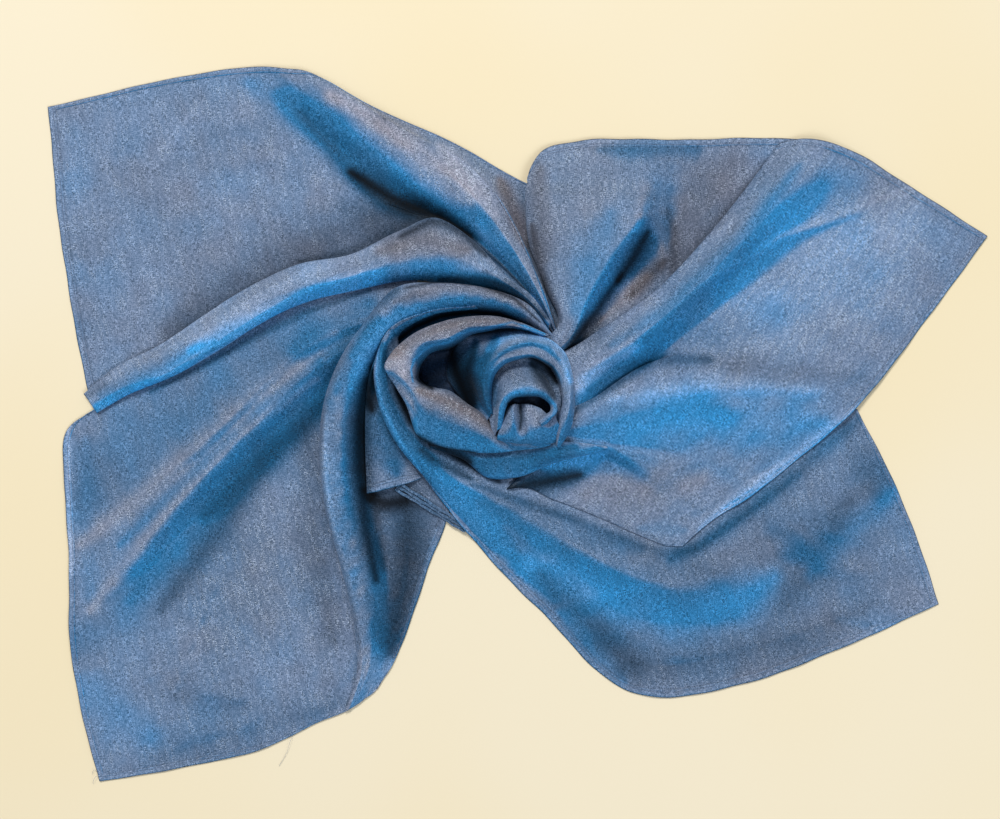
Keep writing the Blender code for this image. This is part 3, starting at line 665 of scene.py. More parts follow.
northwest = shell(
    "northwest_corner", NORTHWEST,
    creases=(
        ("bright crease", 5, 1.6, (232, 80), (195, 112), (172, 142), (146, 170)),
        ("left crease", 6, 0.8, (110, 150), (120, 230), (150, 290)),
        ("blue line", 5, -1.6, (285, 95), (330, 140), (375, 176)),
        ("ridge line", 7, 1.6, (330, 100), (400, 150), (450, 195)),
        ("dark gully", 12, -4.0, (350, 172), (400, 196), (446, 224)),
        ("low swell", 18, 1.4, (250, 210), (330, 205), (380, 215)),
    ),
    # Painted shade in the gully, the brown strip, the east line and along the pleat's foot, painted
    # highlights on the crests, the ridges and the pale crease, and blue painted on the slope.
    strokes=(
        ("pale top", 16, 0.05, -0.04, 0.1, (165, 108), (285, 84)),
        ("pale crease", 7, 0.0, 0.14, 0.2, (224, 86), (196, 112), (172, 142), (150, 166)),
        ("left blue", 20, 0.12, 0.04, 0.1, (74, 130), (80, 270)),
        ("blue start", 20, 0.45, 0.08, 0.0, (250, 82), (285, 100), (320, 124)),
        ("blue slope", 17, 1.1, -0.20, -0.2, (280, 96), (330, 132), (372, 168), (412, 196)),
        ("ridge mauve", 17, -0.75, 0.16, 0.3, (330, 96), (400, 146), (470, 200)),
        ("ridge blue", 9, -0.05, 0.25, 0.1, (395, 165), (440, 198), (478, 236), (515, 285)),
        ("dark gully", 13, 0.6, -0.96, -0.5, (350, 172), (395, 200), (440, 218), (470, 236)),
        ("dark line", 4, 0.5, -0.85, -0.3, (438, 216), (470, 238), (500, 264), (530, 294)),
        ("foot shade", 26, -0.05, -0.46, -0.1, (170, 330), (262, 268), (340, 238), (420, 206)),
        ("warm highlight", 11, -0.4, 0.42, 0.7, (440, 146), (474, 182), (496, 215)),
        ("second ridge", 6, -0.1, 0.12, 0.4, (495, 225), (515, 255), (535, 285), (545, 305)),
        ("brown strip", 9, -0.8, -0.40, 0.2, (500, 180), (514, 210), (526, 245)),
        ("east line", 3, 0.0, -0.6, 0.0, (526, 240), (536, 268), (546, 292)),
        ("gully start", 11, 0.55, -0.42, -0.2, (300, 112), (340, 158), (380, 202), (410, 214)),
        ("foot line", 5, 0.0, -0.28, 0.0, (84, 396), (160, 344), (200, 317), (245, 290), (300, 262)),
        ("foot line east", 7, 0.1, -0.55, 0.0, (300, 262), (350, 253), (400, 229), (440, 214), (478, 240)),
        ("slope foot", 16, 0.1, -0.30, 0.0, (340, 205), (385, 222), (425, 208)),
        ("crest lift", 12, -0.15, 0.28, 0.3, (352, 128), (410, 166), (462, 204), (500, 250)),
        ("ridge foot lift", 8, 0.15, 0.40, 0.1, (478, 220), (505, 255), (528, 291), (545, 322)),
    ),
    lean=(-0.6, -0.8), threads=13, hem=True, seed=3,
)
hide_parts("panel_northwest")


# South-west panel. The bottom left corner of the square lies flat as a grainy plateau, with two soft
# ridges that rise side by side to the rosette. Its left and bottom edges carry the same narrow hem.

SOUTHWEST = pointed(
    ribs(
        ("fold", "root", "shoulder", "reach", "hem"),
        ("under west pleat", (420, 272, 12), (335, 276, 6), (215, 330, 3), (97, 408, 1)),
        ("north edge", (410, 302, 16), (330, 312, 11), (208, 372, 6), (66, 432, 1)),
        ("first crest", (398, 310, 21), (312, 342, 17), (196, 440, 12), (65, 500, 2)),
        ("dip", (390, 318, 19), (306, 362, 14), (192, 462, 10), (68, 548, 2)),
        ("second crest", (382, 328, 22), (303, 376, 17), (190, 484, 12), (69, 590, 2)),
        ("blue foot", (370, 346, 16), (300, 410, 4), (202, 516, 3), (70, 645, 2)),
        ("upper plateau", (358, 368, 8), (298, 448, 3), (208, 560, 4), (82, 715, 2)),
        ("corner", (345, 405, 4), (292, 492, 3), (212, 612, 4), (99, 782, 1)),
        ("south hem", (340, 450, 2), (302, 545, 3), (246, 654, 4), (190, 766, 1)),
        ("lower plateau", (345, 515, 2), (322, 592, 3), (290, 672, 4), (262, 749, 1)),
        ("pleat foot", (354, 580, 1), (344, 635, 2), (331, 686, 3), (320, 722, 1)),
        ("under pleat", (368, 636, 1), (365, 668, 1), (358, 692, 1), (349, 710, 1)),
    ),
    7,
)
southwest = shell(
    "southwest_corner", SOUTHWEST,
    creases=(
        ("first streak", 9, 2.0, (325, 343), (200, 448), (105, 522)),
        ("between", 7, -2.2, (318, 362), (215, 455), (150, 520)),
        ("second streak", 9, 2.0, (306, 388), (236, 440), (178, 505), (118, 585)),
        ("deep valley", 16, -3.0, (335, 395), (240, 475), (180, 545), (105, 640)),
        ("plateau crease", 6, 1.2, (225, 560), (190, 640), (170, 700)),
        ("bottom trough", 9, -1.6, (165, 685), (215, 705), (262, 712)),
        ("bottom swell", 12, 1.2, (150, 745), (230, 725), (300, 700)),
        ("pleat trough", 10, -1.2, (330, 480), (338, 560), (350, 620)),
    ),
    # Painted shade under the pleat, in the deep valley, the troughs and beside the pleat, painted light on
    # the streaks and the left hem, and painted sparkle on the plateau.
    strokes=(
        ("upper blue", 22, 0.60, -0.15, 0.0, (296, 352), (340, 326), (370, 304)),
        ("deep upper", 12, 0.50, -0.30, 0.0, (318, 372), (352, 345), (372, 330)),
        ("shade under pleat", 4, 0.3, -0.50, -0.2, (150, 392), (200, 368), (250, 340), (310, 311),
         (370, 290)),
        ("first streak", 12, -0.50, 0.08, 0.4, (335, 334), (270, 388), (200, 448), (80, 545)),
        ("between", 9, 0.45, -0.06, 0.0, (320, 360), (262, 408), (200, 468), (120, 545)),
        ("second streak", 10, -0.45, 0.08, 0.4, (318, 378), (250, 430), (186, 494), (90, 610)),
        ("left blue", 14, 0.25, 0.02, 0.0, (86, 440), (88, 520), (90, 600)),
        ("deep valley", 16, 0.80, -0.46, -0.2, (356, 372), (300, 420), (245, 475), (205, 515)),
        ("valley foot", 32, 0.42, -0.06, -0.1, (225, 500), (165, 560), (125, 608), (70, 650)),
        ("plateau", 60, 0.05, -0.20, 0.75, (262, 545), (215, 640)),
        ("blue patch", 34, 0.42, 0.14, 0.0, (84, 680), (120, 715), (150, 735)),
        ("dark trough", 12, 0.10, -0.16, 0.0, (168, 694), (206, 706), (244, 704)),
        ("bottom", 20, 0.05, -0.22, 0.2, (150, 760), (260, 734), (340, 700)),
        ("beside pleat", 22, 0.0, -0.38, 0.3, (306, 430), (314, 520), (332, 640)),
        ("upper wash", 60, 0.40, -0.14, 0.0, (80, 500), (190, 405), (300, 330)),
        ("hem light", 4, -0.1, 0.65, 0.6, (69, 425), (69, 490), (71, 575)),
        ("lower wash", 40, 0.15, -0.06, 0.1, (150, 740), (260, 700)),
        ("valley middle", 20, 0.30, -0.10, -0.1, (270, 445), (205, 512), (165, 560), (130, 600)),
        ("valley east", 14, 0.2, -0.42, -0.1, (335, 400), (300, 430), (262, 470), (220, 530), (160, 610)),
    ),
    lean=(0.55, -0.85), threads=14, hem=True, seed=7,
)
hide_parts("panel_southwest")


# Big south-west pleat. A deep soft tube of the same cloth wraps the rosette and runs down to the
# bottom hem, where it dies out. To its right the cloth lies flat and half in shade.

PLEAT_SHELL_CELL = 1.7

SOUTHWEST_PLEAT = ribs(
    ("section", "outer tuck", "outer edge", "crest", "inner side", "low", "foot", "flat", "inner edge"),
    ("root", (549, 334, 36), (551, 333, 39), (553, 336, 42), (555, 340, 40), (556, 343, 37), (556, 344, 36),
     (557, 345, 34), (557, 346, 32)),
    ("a", (524, 307, 36), (526, 303, 40), (524, 308, 45), (521, 312, 43), (520, 315, 38), (520, 317, 34),
     (520, 320, 30), (520, 323, 26)),
    ("b", (491, 293, 33), (490, 289, 38), (489, 295, 47), (488, 304, 43), (487, 308, 35), (487, 311, 29),
     (487, 315, 24), (487, 319, 20)),
    ("c", (441, 287, 28), (440, 283, 34), (442, 290, 46), (445, 303, 42), (447, 310, 33), (449, 315, 24),
     (451, 320, 18), (453, 324, 14)),
    ("d", (401, 293, 22), (396, 288, 28), (400, 297, 43), (407, 313, 38), (412, 323, 28), (415, 328, 20),
     (418, 332, 15), (421, 336, 12)),
    ("e", (365, 335, 15), (359, 331, 21), (366, 336, 38), (378, 342, 34), (387, 346, 22), (391, 348, 15),
     (394, 350, 10), (397, 352, 7)),
    ("f", (339, 378, 6), (333, 376, 12), (339, 377, 32), (354, 381, 30), (366, 384, 17), (371, 387, 9),
     (376, 389, 5), (382, 392, 3)),
    ("g", (325, 442, 2), (320, 441, 8), (325, 441, 28), (341, 442, 27), (355, 442, 13), (363, 443, 5),
     (374, 446, 2), (450, 480, 2)),
    ("h", (330, 506, 2), (325, 506, 7), (330, 505, 26), (346, 504, 24), (360, 502, 12), (370, 502, 5),
     (384, 504, 2), (446, 523, 1)),
    ("i", (345, 566, 2), (341, 567, 6), (346, 565, 23), (360, 562, 20), (374, 558, 11), (385, 557, 5),
     (396, 557, 3), (433, 556, 1)),
    ("j", (358, 630, 1), (355, 631, 4), (360, 629, 17), (370, 625, 16), (379, 622, 11), (387, 620, 7),
     (395, 620, 4), (412, 616, 1)),
    ("k", (360, 670, 1), (357, 671, 3), (361, 671, 11), (368, 668, 11), (375, 665, 8), (381, 663, 5),
     (387, 662, 3), (395, 660, 1)),
    ("hem", (345, 712, 1), (346, 711, 1), (350, 709, 2), (355, 706, 2), (361, 702, 2), (366, 698, 2),
     (372, 694, 1), (378, 687, 1)),
)
big_pleat = shell(
    "big_pleat", SOUTHWEST_PLEAT,
    creases=(
        ("bright edge", 3.0, 0.8, (322, 440), (326, 500), (342, 566), (355, 625)),
        ("side crease", 5, 1.2, (352, 470), (366, 540), (378, 610)),
        ("side trough", 6, -1.4, (368, 500), (384, 560), (392, 600)),
        ("flat crease", 5, 1.0, (415, 480), (405, 550), (396, 620)),
    ),
    # Painted shadow in the crescent under the outer roll, under the band and the flap, and down the shaded
    # right side and flat, and painted highlights on the left edge, the inner blue and the hem.
    strokes=(
        ("shadow crescent", 6, 0.2, -0.98, -0.5, (384, 360), (396, 341), (415, 327), (440, 316), (470, 312),
         (500, 314), (530, 326)),
        ("crest", 7, -0.35, -0.30, 0.2, (395, 302), (440, 286), (480, 286), (525, 306)),
        ("upper blue", 6, 0.50, -0.05, 0.0, (395, 322), (420, 308), (455, 299), (495, 303), (525, 317)),
        ("outer line", 2.2, 0.0, -0.75, -0.2, (404, 288), (440, 281), (480, 284), (515, 299), (540, 322)),
        ("left blue", 10, 0.55, -0.16, 0.2, (336, 392), (352, 356), (378, 318)),
        ("inner blue", 8, 0.35, 0.40, 0.0, (352, 388), (364, 350), (392, 322), (420, 306)),
        ("under band", 10, 0.3, -0.97, -0.5, (372, 366), (372, 392), (366, 430), (366, 470), (370, 500)),
        ("middle", 11, 0.32, -0.08, 0.2, (330, 400), (334, 470), (342, 530), (356, 610)),
        ("left edge", 4, 0.1, 0.35, 0.4, (326, 415), (325, 480), (334, 540), (348, 600), (358, 660)),
        ("right side", 11, -0.1, -0.86, -0.1, (366, 380), (359, 420), (359, 470), (366, 530), (376, 580)),
        ("flat", 30, 0.25, -0.80, 0.1, (416, 470), (408, 560), (392, 650)),
        ("shaded top", 24, 0.1, -0.70, -0.1, (392, 400), (396, 450)),
        ("hem light", 5, 0.1, 0.45, 0.2, (436, 530), (425, 575), (408, 620), (390, 668)),
        ("low right", 12, -0.25, 0.0, 0.2, (366, 650), (372, 690)),
        ("right soft", 9, -0.20, -0.18, 0.1, (356, 380), (348, 430), (352, 480), (360, 550), (378, 640)),
        ("low corner", 18, -0.25, 0.18, 0.2, (342, 716), (368, 690), (392, 650)),
        ("under flap", 12, 0.1, -0.92, -0.3, (364, 490), (384, 504), (410, 500)),
        ("root shade", 6, 0.2, -0.45, 0.0, (352, 330), (372, 306), (398, 289)),
        ("foot shade", 7, 0.0, -0.55, 0.0, (372, 480), (376, 520), (384, 570)),
        ("crown blue", 10, 0.45, -0.04, 0.0, (352, 356), (372, 334), (400, 322)),
    ),
    below=["southwest_corner"], cell=PLEAT_SHELL_CELL, lean=(0.75, -0.65), hem=True, crumple=0.25, seed=11,
)
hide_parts("pleat_southwest")


# Gathered hems. Under the small flap three turned edges of the square lie like stairs, each one a
# double thickness of voile held by its row of stitches.

HEM_STAIRS = (
    ("lowest", 6.0, 3.8, 1.0),
    ("middle", 2.4, 5.0, 0.96),
    ("top", -1.2, 6.2, 0.92),
)
HEM_PROFILE = ((-5.0, -0.5), (-1.2, -0.35), (0.0, 0.0), (0.45, -0.35), (0.4, -0.8), (-5.0, -0.9))
HEM_FLAP_END = (398.0, 485.0)
HEM_TIP = (467.0, 529.0)
HEM_ASIDE = (-0.55, 0.83)
HEM_STOPS = 46
HEM_NARROWING = 0.3
LEAST_HEM_UP = 0.2


def tube_faces(first, rings, sides):
    """The faces of a closed tube whose rings of points follow one another from the first point."""
    faces = []
    for a in range(first, first + (rings - 1) * sides, sides):
        for j in range(sides):
            k = (j + 1) % sides
            faces.append((a + j, a + k, a + sides + k, a + sides + j))
    last = first + (rings - 1) * sides
    return [*faces, tuple(range(first, first + sides))[::-1], tuple(range(last, last + sides))]


def plain_cloth(name, points, faces, *tones):
    """A mesh of cloth with one shot, one painted lightness and one glint all over, its threads running
    east and north.
    """
    mesh = bpy.data.meshes.new(name)
    mesh.from_pydata([tuple(p) for p in points], [], faces)
    for key, value in zip(CLOTH_TONES, tones):
        mesh.attributes.new(key, "FLOAT", "POINT").data.foreach_set("value", [value] * len(mesh.vertices))
    spots = mesh.uv_layers.new(name="threads").data
    for loop in mesh.loops:
        spots[loop.index].uv = mesh.vertices[loop.vertex_index].co.xy
    return mesh


hem_points, hem_faces = [], []
for name, aside, up, reach in HEM_STAIRS:
    hem_faces += tube_faces(len(hem_points), HEM_STOPS, len(HEM_PROFILE))
    for stop in np.linspace(0.0, reach, HEM_STOPS):
        share = 1.0 - HEM_NARROWING * stop
        sway = 0.35 * np.sin(stop * 17 + aside) + 0.2 * np.sin(stop * 43 + up)
        for out, height in HEM_PROFILE:
            across = (aside * share + out * (1.0 if out > -2 else 0.5)) + sway
            east = HEM_FLAP_END[0] + (HEM_TIP[0] - HEM_FLAP_END[0]) * stop + HEM_ASIDE[0] * across
            south = HEM_FLAP_END[1] + (HEM_TIP[1] - HEM_FLAP_END[1]) * stop + HEM_ASIDE[1] * across
            hem_points.append(in_frame(np.array((east, south, max(LEAST_HEM_UP, up + height)))))
# The hems are painted darker all over for the shade under the flap, with more painted sparkle.
hem_mesh = plain_cloth("gathered_hems", hem_points, hem_faces, 0.45, 0.62, 0.5)
gathered_hems = placed("gathered_hems", hem_mesh, shot_voile)
remember("gathered_hems", hem_points, hem_faces)
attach(gathered_hems, "root")
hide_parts("hem_layers")


# Small flap. A short corner of cloth hangs out from under the rosette over the flat of the big pleat.
# Its lower edge is hemmed like the rest.

ROLL_SHELL_CELL = 1.1

FLAP = ribs(
    ("section", "west edge", "west", "east", "east edge"),
    ("tip", (380, 350, 10), (383, 349, 11), (386, 349, 10), (389, 352, 9)),
    ("root", (369, 380, 9), (376, 378, 11), (384, 386, 9), (392, 400, 7)),
    ("middle", (365, 440, 8), (380, 440, 10), (395, 448, 9), (409, 458, 6)),
    ("hem", (367, 493, 5), (386, 489, 7), (405, 484, 6), (422, 478, 3)),
)
flap = shell(
    "small_flap", FLAP.swapaxes(0, 1),
    creases=(
        ("left fold", 4, 0.8, (374, 400), (372, 450), (376, 485)),
        ("right fold", 4, -0.6, (396, 410), (404, 440), (410, 470)),
    ),
    # Painted shade over its middle and round its top and sides, where it tucks in among the folds.
    strokes=(
        ("middle", 20, 0.80, -0.40, 0.2, (384, 410), (396, 470)),
        ("left shade", 9, 0.35, -0.70, 0.2, (366, 400), (366, 450), (369, 492)),
        ("top shade", 14, 0.2, -0.95, -0.4, (375, 372), (386, 388), (398, 398)),
        ("right shade", 7, 0.3, -0.60, -0.1, (400, 420), (412, 446), (424, 470)),
        ("left top shade", 13, 0.2, -0.95, -0.4, (364, 370), (368, 392), (372, 410)),
    ),
    below=["big_pleat", "gathered_hems"], cell=ROLL_SHELL_CELL, hem=True, crumple=0.2, seed=13,
)
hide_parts("flap_south")


# South-east panel. The bottom right corner lies flat, rises in one broad ridge and narrows to a rounded
# band that climbs round the rosette's left side.

SOUTHEAST = pointed(
    ribs(
        ("fold", "tuck", "inner edge", "inner side", "crest", "outer side", "low", "hem"),
        ("lip start", (478, 309, 30), (477, 308, 31), (476, 307, 32), (476, 306, 32), (475, 306, 32),
         (475, 306, 31), (475, 307, 30)),
        ("lip end", (431, 316, 26), (430, 315, 29), (429, 314, 31), (428, 313, 32), (428, 312, 31),
         (427, 312, 30), (427, 313, 28)),
        ("lip", (399, 336, 25), (396, 334, 30), (394, 332, 33), (391, 331, 35), (389, 331, 34),
         (387, 333, 31), (388, 336, 27)),
        ("top", (400, 349, 22), (391, 352, 28), (386, 351, 33), (382, 351, 37), (378, 354, 35),
         (376, 357, 30), (379, 361, 23)),
        ("side", (404, 394, 17), (396, 395, 24), (391, 396, 31), (386, 397, 35), (381, 400, 34),
         (378, 403, 28), (381, 406, 20)),
        ("bend", (440, 427, 13), (430, 431, 19), (413, 434, 27), (406, 436, 31), (399, 440, 29),
         (396, 443, 24), (400, 446, 16)),
        ("foot", (478, 452, 10), (470, 459, 15), (455, 468, 23), (446, 471, 26), (438, 475, 23),
         (430, 481, 15), (429, 484, 9)),
        ("gather", (536, 452, 6), (530, 462, 9), (514, 490, 18), (502, 502, 21), (489, 515, 15),
         (476, 527, 7), (469, 535, 2)),
        ("west", (604, 455, 4), (598, 470, 7), (584, 512, 15), (572, 540, 18), (562, 568, 10), (552, 594, 4),
         (541, 612, 1)),
        ("south", (668, 490, 4), (664, 505, 7), (662, 542, 14), (659, 577, 18), (654, 616, 9), (648, 658, 4),
         (642, 695, 1)),
        ("slope", (714, 486, 4), (712, 500, 7), (718, 536, 13), (722, 568, 16), (728, 604, 8), (738, 646, 4),
         (748, 683, 1)),
        ("valley", (736, 478, 4), (738, 490, 6), (752, 518, 9), (764, 540, 8), (786, 576, 6), (814, 620, 4),
         (846, 646, 1)),
        ("corner", (748, 466, 4), (752, 476, 6), (776, 500, 12), (798, 526, 15), (832, 556, 8), (872, 590, 4),
         (939, 604, 1)),
        ("east hem", (764, 442, 4), (770, 452, 5), (800, 474, 10), (828, 494, 11), (860, 512, 5),
         (890, 522, 2), (915, 532, 1)),
        ("east", (784, 420, 2), (790, 430, 3), (812, 446, 6), (836, 458, 7), (858, 468, 4), (876, 474, 2),
         (893, 480, 1)),
        ("under", (798, 402, 1), (800, 405, 2), (814, 408, 2), (828, 408, 2), (840, 407, 1), (849, 407, 1),
         (857, 409, 1)),
    ),
    12,
)
southeast = shell(
    "southeast_corner", SOUTHEAST,
    creases=(
        ("long crease", 8, 1.6, (520, 512), (590, 556), (670, 590), (740, 600)),
        ("hollow", 14, -2.0, (560, 560), (640, 622), (730, 628), (790, 604)),
        ("low ridge", 10, 1.6, (600, 622), (680, 655), (770, 642), (880, 604)),
        ("right trough", 10, -1.6, (770, 560), (830, 580), (900, 590)),
        ("right ridge", 10, 1.4, (800, 520), (850, 535), (905, 545)),
        ("upper crease", 7, 1.0, (800, 470), (850, 490), (890, 500)),
    ),
    # Painted shade inside the band, under the rosette, under the east panel's edge and tip and across the
    # hollows, and painted light on the band's edge, the lip, the blue hollow and the rims.
    strokes=(
        ("lip", 3, 0.5, 0.10, 0.3, (472, 307), (425, 312), (396, 329), (382, 350)),
        ("band edge", 2.0, 0.2, 0.60, 0.4, (378, 350), (376, 375), (382, 405), (398, 438), (420, 470)),
        ("band", 8, 1.0, -0.40, 0.0, (383, 345), (384, 390), (402, 430), (436, 466)),
        ("band inside", 6, 0.2, -0.97, -0.5, (392, 360), (398, 394), (410, 420), (424, 436), (462, 460),
         (500, 482)),
        ("foot blue", 13, 0.35, 0.28, 0.1, (424, 455), (450, 488), (480, 520), (505, 548)),
        ("foot shade", 8, 0.15, -0.25, 0.1, (470, 478), (500, 494), (540, 506), (580, 520)),
        ("mauve slope", 13, 0.35, -0.18, 0.4, (480, 502), (560, 528), (640, 550)),
        ("left edge blue", 10, 0.50, -0.05, 0.1, (465, 512), (510, 558), (555, 600)),
        ("mauve middle", 22, 0.10, -0.14, 0.2, (560, 548), (640, 562), (720, 572)),
        ("left hollow", 22, 0.22, -0.48, 0.0, (540, 575), (590, 625), (640, 672)),
        ("blue hollow", 27, 0.58, 0.50, 0.0, (530, 566), (600, 602), (680, 622), (740, 604), (772, 578)),
        ("lower mauve", 20, 0.0, -0.34, 0.2, (620, 672), (700, 668), (800, 640), (880, 606)),
        ("corner", 20, 0.10, -0.10, 0.0, (850, 590), (910, 575)),
        ("middle shade", 18, 0.10, -0.30, 0.0, (780, 610), (820, 555), (850, 500)),
        ("right blue", 15, 0.48, 0.26, 0.0, (810, 575), (850, 530), (895, 490)),
        ("right rim", 12, 0.10, -0.02, 0.0, (876, 460), (905, 530), (925, 585)),
        ("shade under east", 11, 0.45, -0.34, 0.0, (670, 560), (700, 545), (760, 500), (810, 460),
         (858, 418)),
        ("wide shade", 70, 0.12, -0.26, 0.0, (600, 640), (760, 600), (880, 480)),
        ("shade under tip", 5, 0.3, -0.36, 0.0, (470, 484), (540, 508), (600, 530), (660, 553), (695, 549),
         (750, 512), (800, 474)),
        ("edge shade", 7, 0.0, 0.02, 0.0, (640, 690), (720, 684), (820, 650), (930, 603)),
        ("left rim", 10, 0.4, 0.30, 0.1, (560, 612), (600, 655), (625, 682)),
        ("under rosette", 7, 0.4, -0.70, -0.1, (420, 450), (442, 464), (470, 478)),
        ("far shade", 18, 0.15, -0.22, 0.0, (850, 430), (866, 462), (882, 500)),
    ),
    below=["big_pleat", "gathered_hems", "small_flap"], lean=(-0.1, -1.0), threads=17, hem=True, seed=17,
)
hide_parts("panel_southeast")


# North panel. The top middle of the square is the half in the shade: it turns up in a tall cone-shaped
# pleat whose mouth opens into a dark hollow, and its long top edge is hemmed.

NORTH = ribs(
    ("fold", "tuck", "root", "shoulder", "middle", "reach", "hem"),
    ("tucked edge", (546, 338, 34), (554, 331, 34), (554, 300, 21), (541, 258, 10), (536, 215, 8),
     (537, 186, 6)),
    ("west edge", (547, 338, 38), (556, 329, 40), (545, 288, 24), (529, 245, 17), (525, 205, 13),
     (528, 178, 8)),
    ("west crest", (550, 341, 42), (560, 332, 46), (552, 284, 37), (544, 240, 31), (541, 200, 24),
     (540, 153, 5)),
    ("shoulder", (553, 345, 42), (563, 336, 46), (568, 286, 39), (576, 245, 36), (580, 203, 29),
     (577, 141, 3)),
    ("lip", (556, 350, 42), (566, 342, 46), (590, 293, 41), (616, 248, 40), (638, 213, 33), (628, 139, 3)),
    ("under lip", (558, 353, 39), (568, 345, 42), (598, 297, 23), (627, 257, 18), (655, 226, 14),
     (668, 139, 2)),
    ("hollow", (559, 354, 34), (569, 346, 36), (608, 305, 8), (640, 275, 3), (668, 248, 2), (704, 139, 2)),
    ("floor", (560, 357, 30), (570, 349, 31), (620, 309, 5), (668, 275, 2), (712, 215, 2), (756, 138, 1)),
    ("under east pleat", (561, 360, 25), (571, 352, 26), (636, 312, 3), (694, 268, 1), (748, 200, 1),
     (800, 139, 1)),
)
north = shell(
    "north_side", NORTH,
    creases=(
        ("long crease", 5, 1.0, (562, 160), (600, 185), (654, 214)),
        ("hem swell", 8, 1.2, (590, 148), (650, 156), (710, 150)),
        ("floor crease", 8, 1.4, (668, 200), (700, 215), (725, 190)),
        ("cone crease", 5, 0.8, (572, 330), (582, 270), (592, 215)),
        ("cone lip", 5, 2.6, (636, 222), (650, 216), (661, 228), (665, 246), (662, 276)),
        ("cone mouth", 8, -2.6, (650, 240), (646, 258), (628, 284)),
    ),
    # Painted shade in the cone's mouth and at the hollow's edges, along the west face and foot, on the back
    # and under the east panel, painted light on the rim, and painted sparkle on the hollow's floor.
    strokes=(
        ("west face", 12, -0.2, -0.28, 0.1, (540, 170), (541, 215), (545, 260)),
        ("west foot", 6, -0.3, -0.60, 0.0, (532, 225), (538, 265), (548, 300), (556, 325)),
        ("upper flat", 16, -0.05, -0.10, 0.2, (556, 190), (610, 190), (650, 196)),
        ("pale blue", 22, 0.50, 0.04, 0.0, (575, 310), (592, 262), (610, 215)),
        ("rim", 4.5, 0.35, 0.25, 0.0, (568, 338), (596, 292), (618, 256), (630, 236), (642, 222)),
        ("mouth", 9, 0.2, -0.92, -0.2, (618, 282), (636, 254), (648, 232)),
        ("hollow", 12, -0.9, 0.10, 0.8, (648, 276), (612, 305), (585, 335)),
        ("hollow foot", 6, 0.2, -0.86, -0.2, (568, 350), (596, 312), (622, 274)),
        ("back", 40, -0.30, -0.36, 0.1, (670, 260), (690, 215), (730, 165)),
        ("under east", 10, 0.0, -0.5, 0.0, (640, 322), (680, 280), (724, 225), (770, 160)),
        ("hem blue", 9, 0.55, -0.28, 0.1, (600, 150), (650, 151), (700, 150)),
        ("right lip", 5, -0.20, -0.02, 0.1, (636, 216), (650, 214), (661, 228), (665, 246), (662, 268)),
        ("mouth blue", 9, 0.25, -0.35, -0.1, (634, 275), (650, 254), (654, 238)),
        ("lip shade", 6, -0.1, -0.45, 0.0, (668, 210), (674, 236), (672, 270)),
        ("hollow right", 9, -0.2, -0.68, -0.1, (664, 262), (648, 278), (630, 296)),
        ("lean shade", 18, -0.45, -0.05, 0.0, (650, 190), (662, 210)),
        ("root", 10, -0.3, -0.55, 0.0, (566, 350), (580, 335), (600, 318)),
    ),
    below=["northwest_corner"], lean=(0.8, -0.6), threads=0, hem=True, seed=19,
)
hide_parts("panel_north")


# Long west pleat. Cloth pinched into a flat tube runs from the left hem to the rosette, over the two
# left panels. Its far side is mauve and painted light, its near side deep blue, and its near edge a
# painted highlight line.

WEST_PLEAT = ribs(
    ("section", "north tuck", "north edge", "north side", "crest", "south side", "south edge", "tuck"),
    ("hem", (88, 399, 1), (84, 394, 2), (87, 398, 6), (90, 403, 8), (94, 409, 7), (97, 413, 5), (94, 409, 4)),
    ("a", (114, 382, 1), (110, 371, 3), (115, 380, 9), (119, 388, 11), (122, 394, 9), (126, 396, 5),
     (122, 392, 4)),
    ("b", (164, 356, 1), (160, 345, 2), (165, 356, 13), (170, 368, 14), (174, 374, 11), (178, 374, 4),
     (173, 370, 2)),
    ("c", (204, 329, 1), (200, 318, 2), (206, 331, 15), (211, 344, 17), (216, 351, 12), (220, 349, 5),
     (214, 346, 3)),
    ("d", (244, 303, 1), (240, 292, 2), (246, 306, 18), (252, 318, 20), (257, 325, 15), (260, 323, 6),
     (254, 319, 4)),
    ("e", (303, 276, 1), (300, 264, 2), (303, 276, 22), (306, 288, 24), (309, 297, 18), (311, 301, 8),
     (306, 296, 6)),
    ("f", (351, 268, 1), (350, 255, 3), (351, 264, 26), (352, 275, 28), (353, 285, 21), (354, 291, 11),
     (351, 285, 8)),
    ("g", (401, 246, 3), (400, 231, 6), (401, 243, 30), (402, 258, 33), (403, 272, 27), (404, 281, 16),
     (402, 275, 13)),
    ("h", (441, 233, 19), (440, 219, 26), (441, 232, 36), (443, 250, 39), (445, 268, 33), (447, 281, 22),
     (449, 288, 14)),
    ("i", (470, 245, 25), (474, 241, 32), (473, 248, 40), (472, 260, 42), (471, 273, 38), (471, 284, 29),
     (473, 292, 20)),
    ("j", (502, 277, 33), (506, 276, 38), (505, 277, 44), (502, 280, 46), (500, 283, 43), (498, 286, 37),
     (500, 292, 28)),
    ("k", (527, 296, 36), (530, 294, 40), (528, 296, 44), (526, 297, 46), (524, 298, 43), (523, 299, 39),
     (525, 304, 31)),
    ("root", (550, 325, 38), (551, 322, 40), (551, 323, 43), (550, 324, 44), (549, 325, 43), (548, 326, 40),
     (549, 330, 33)),
)
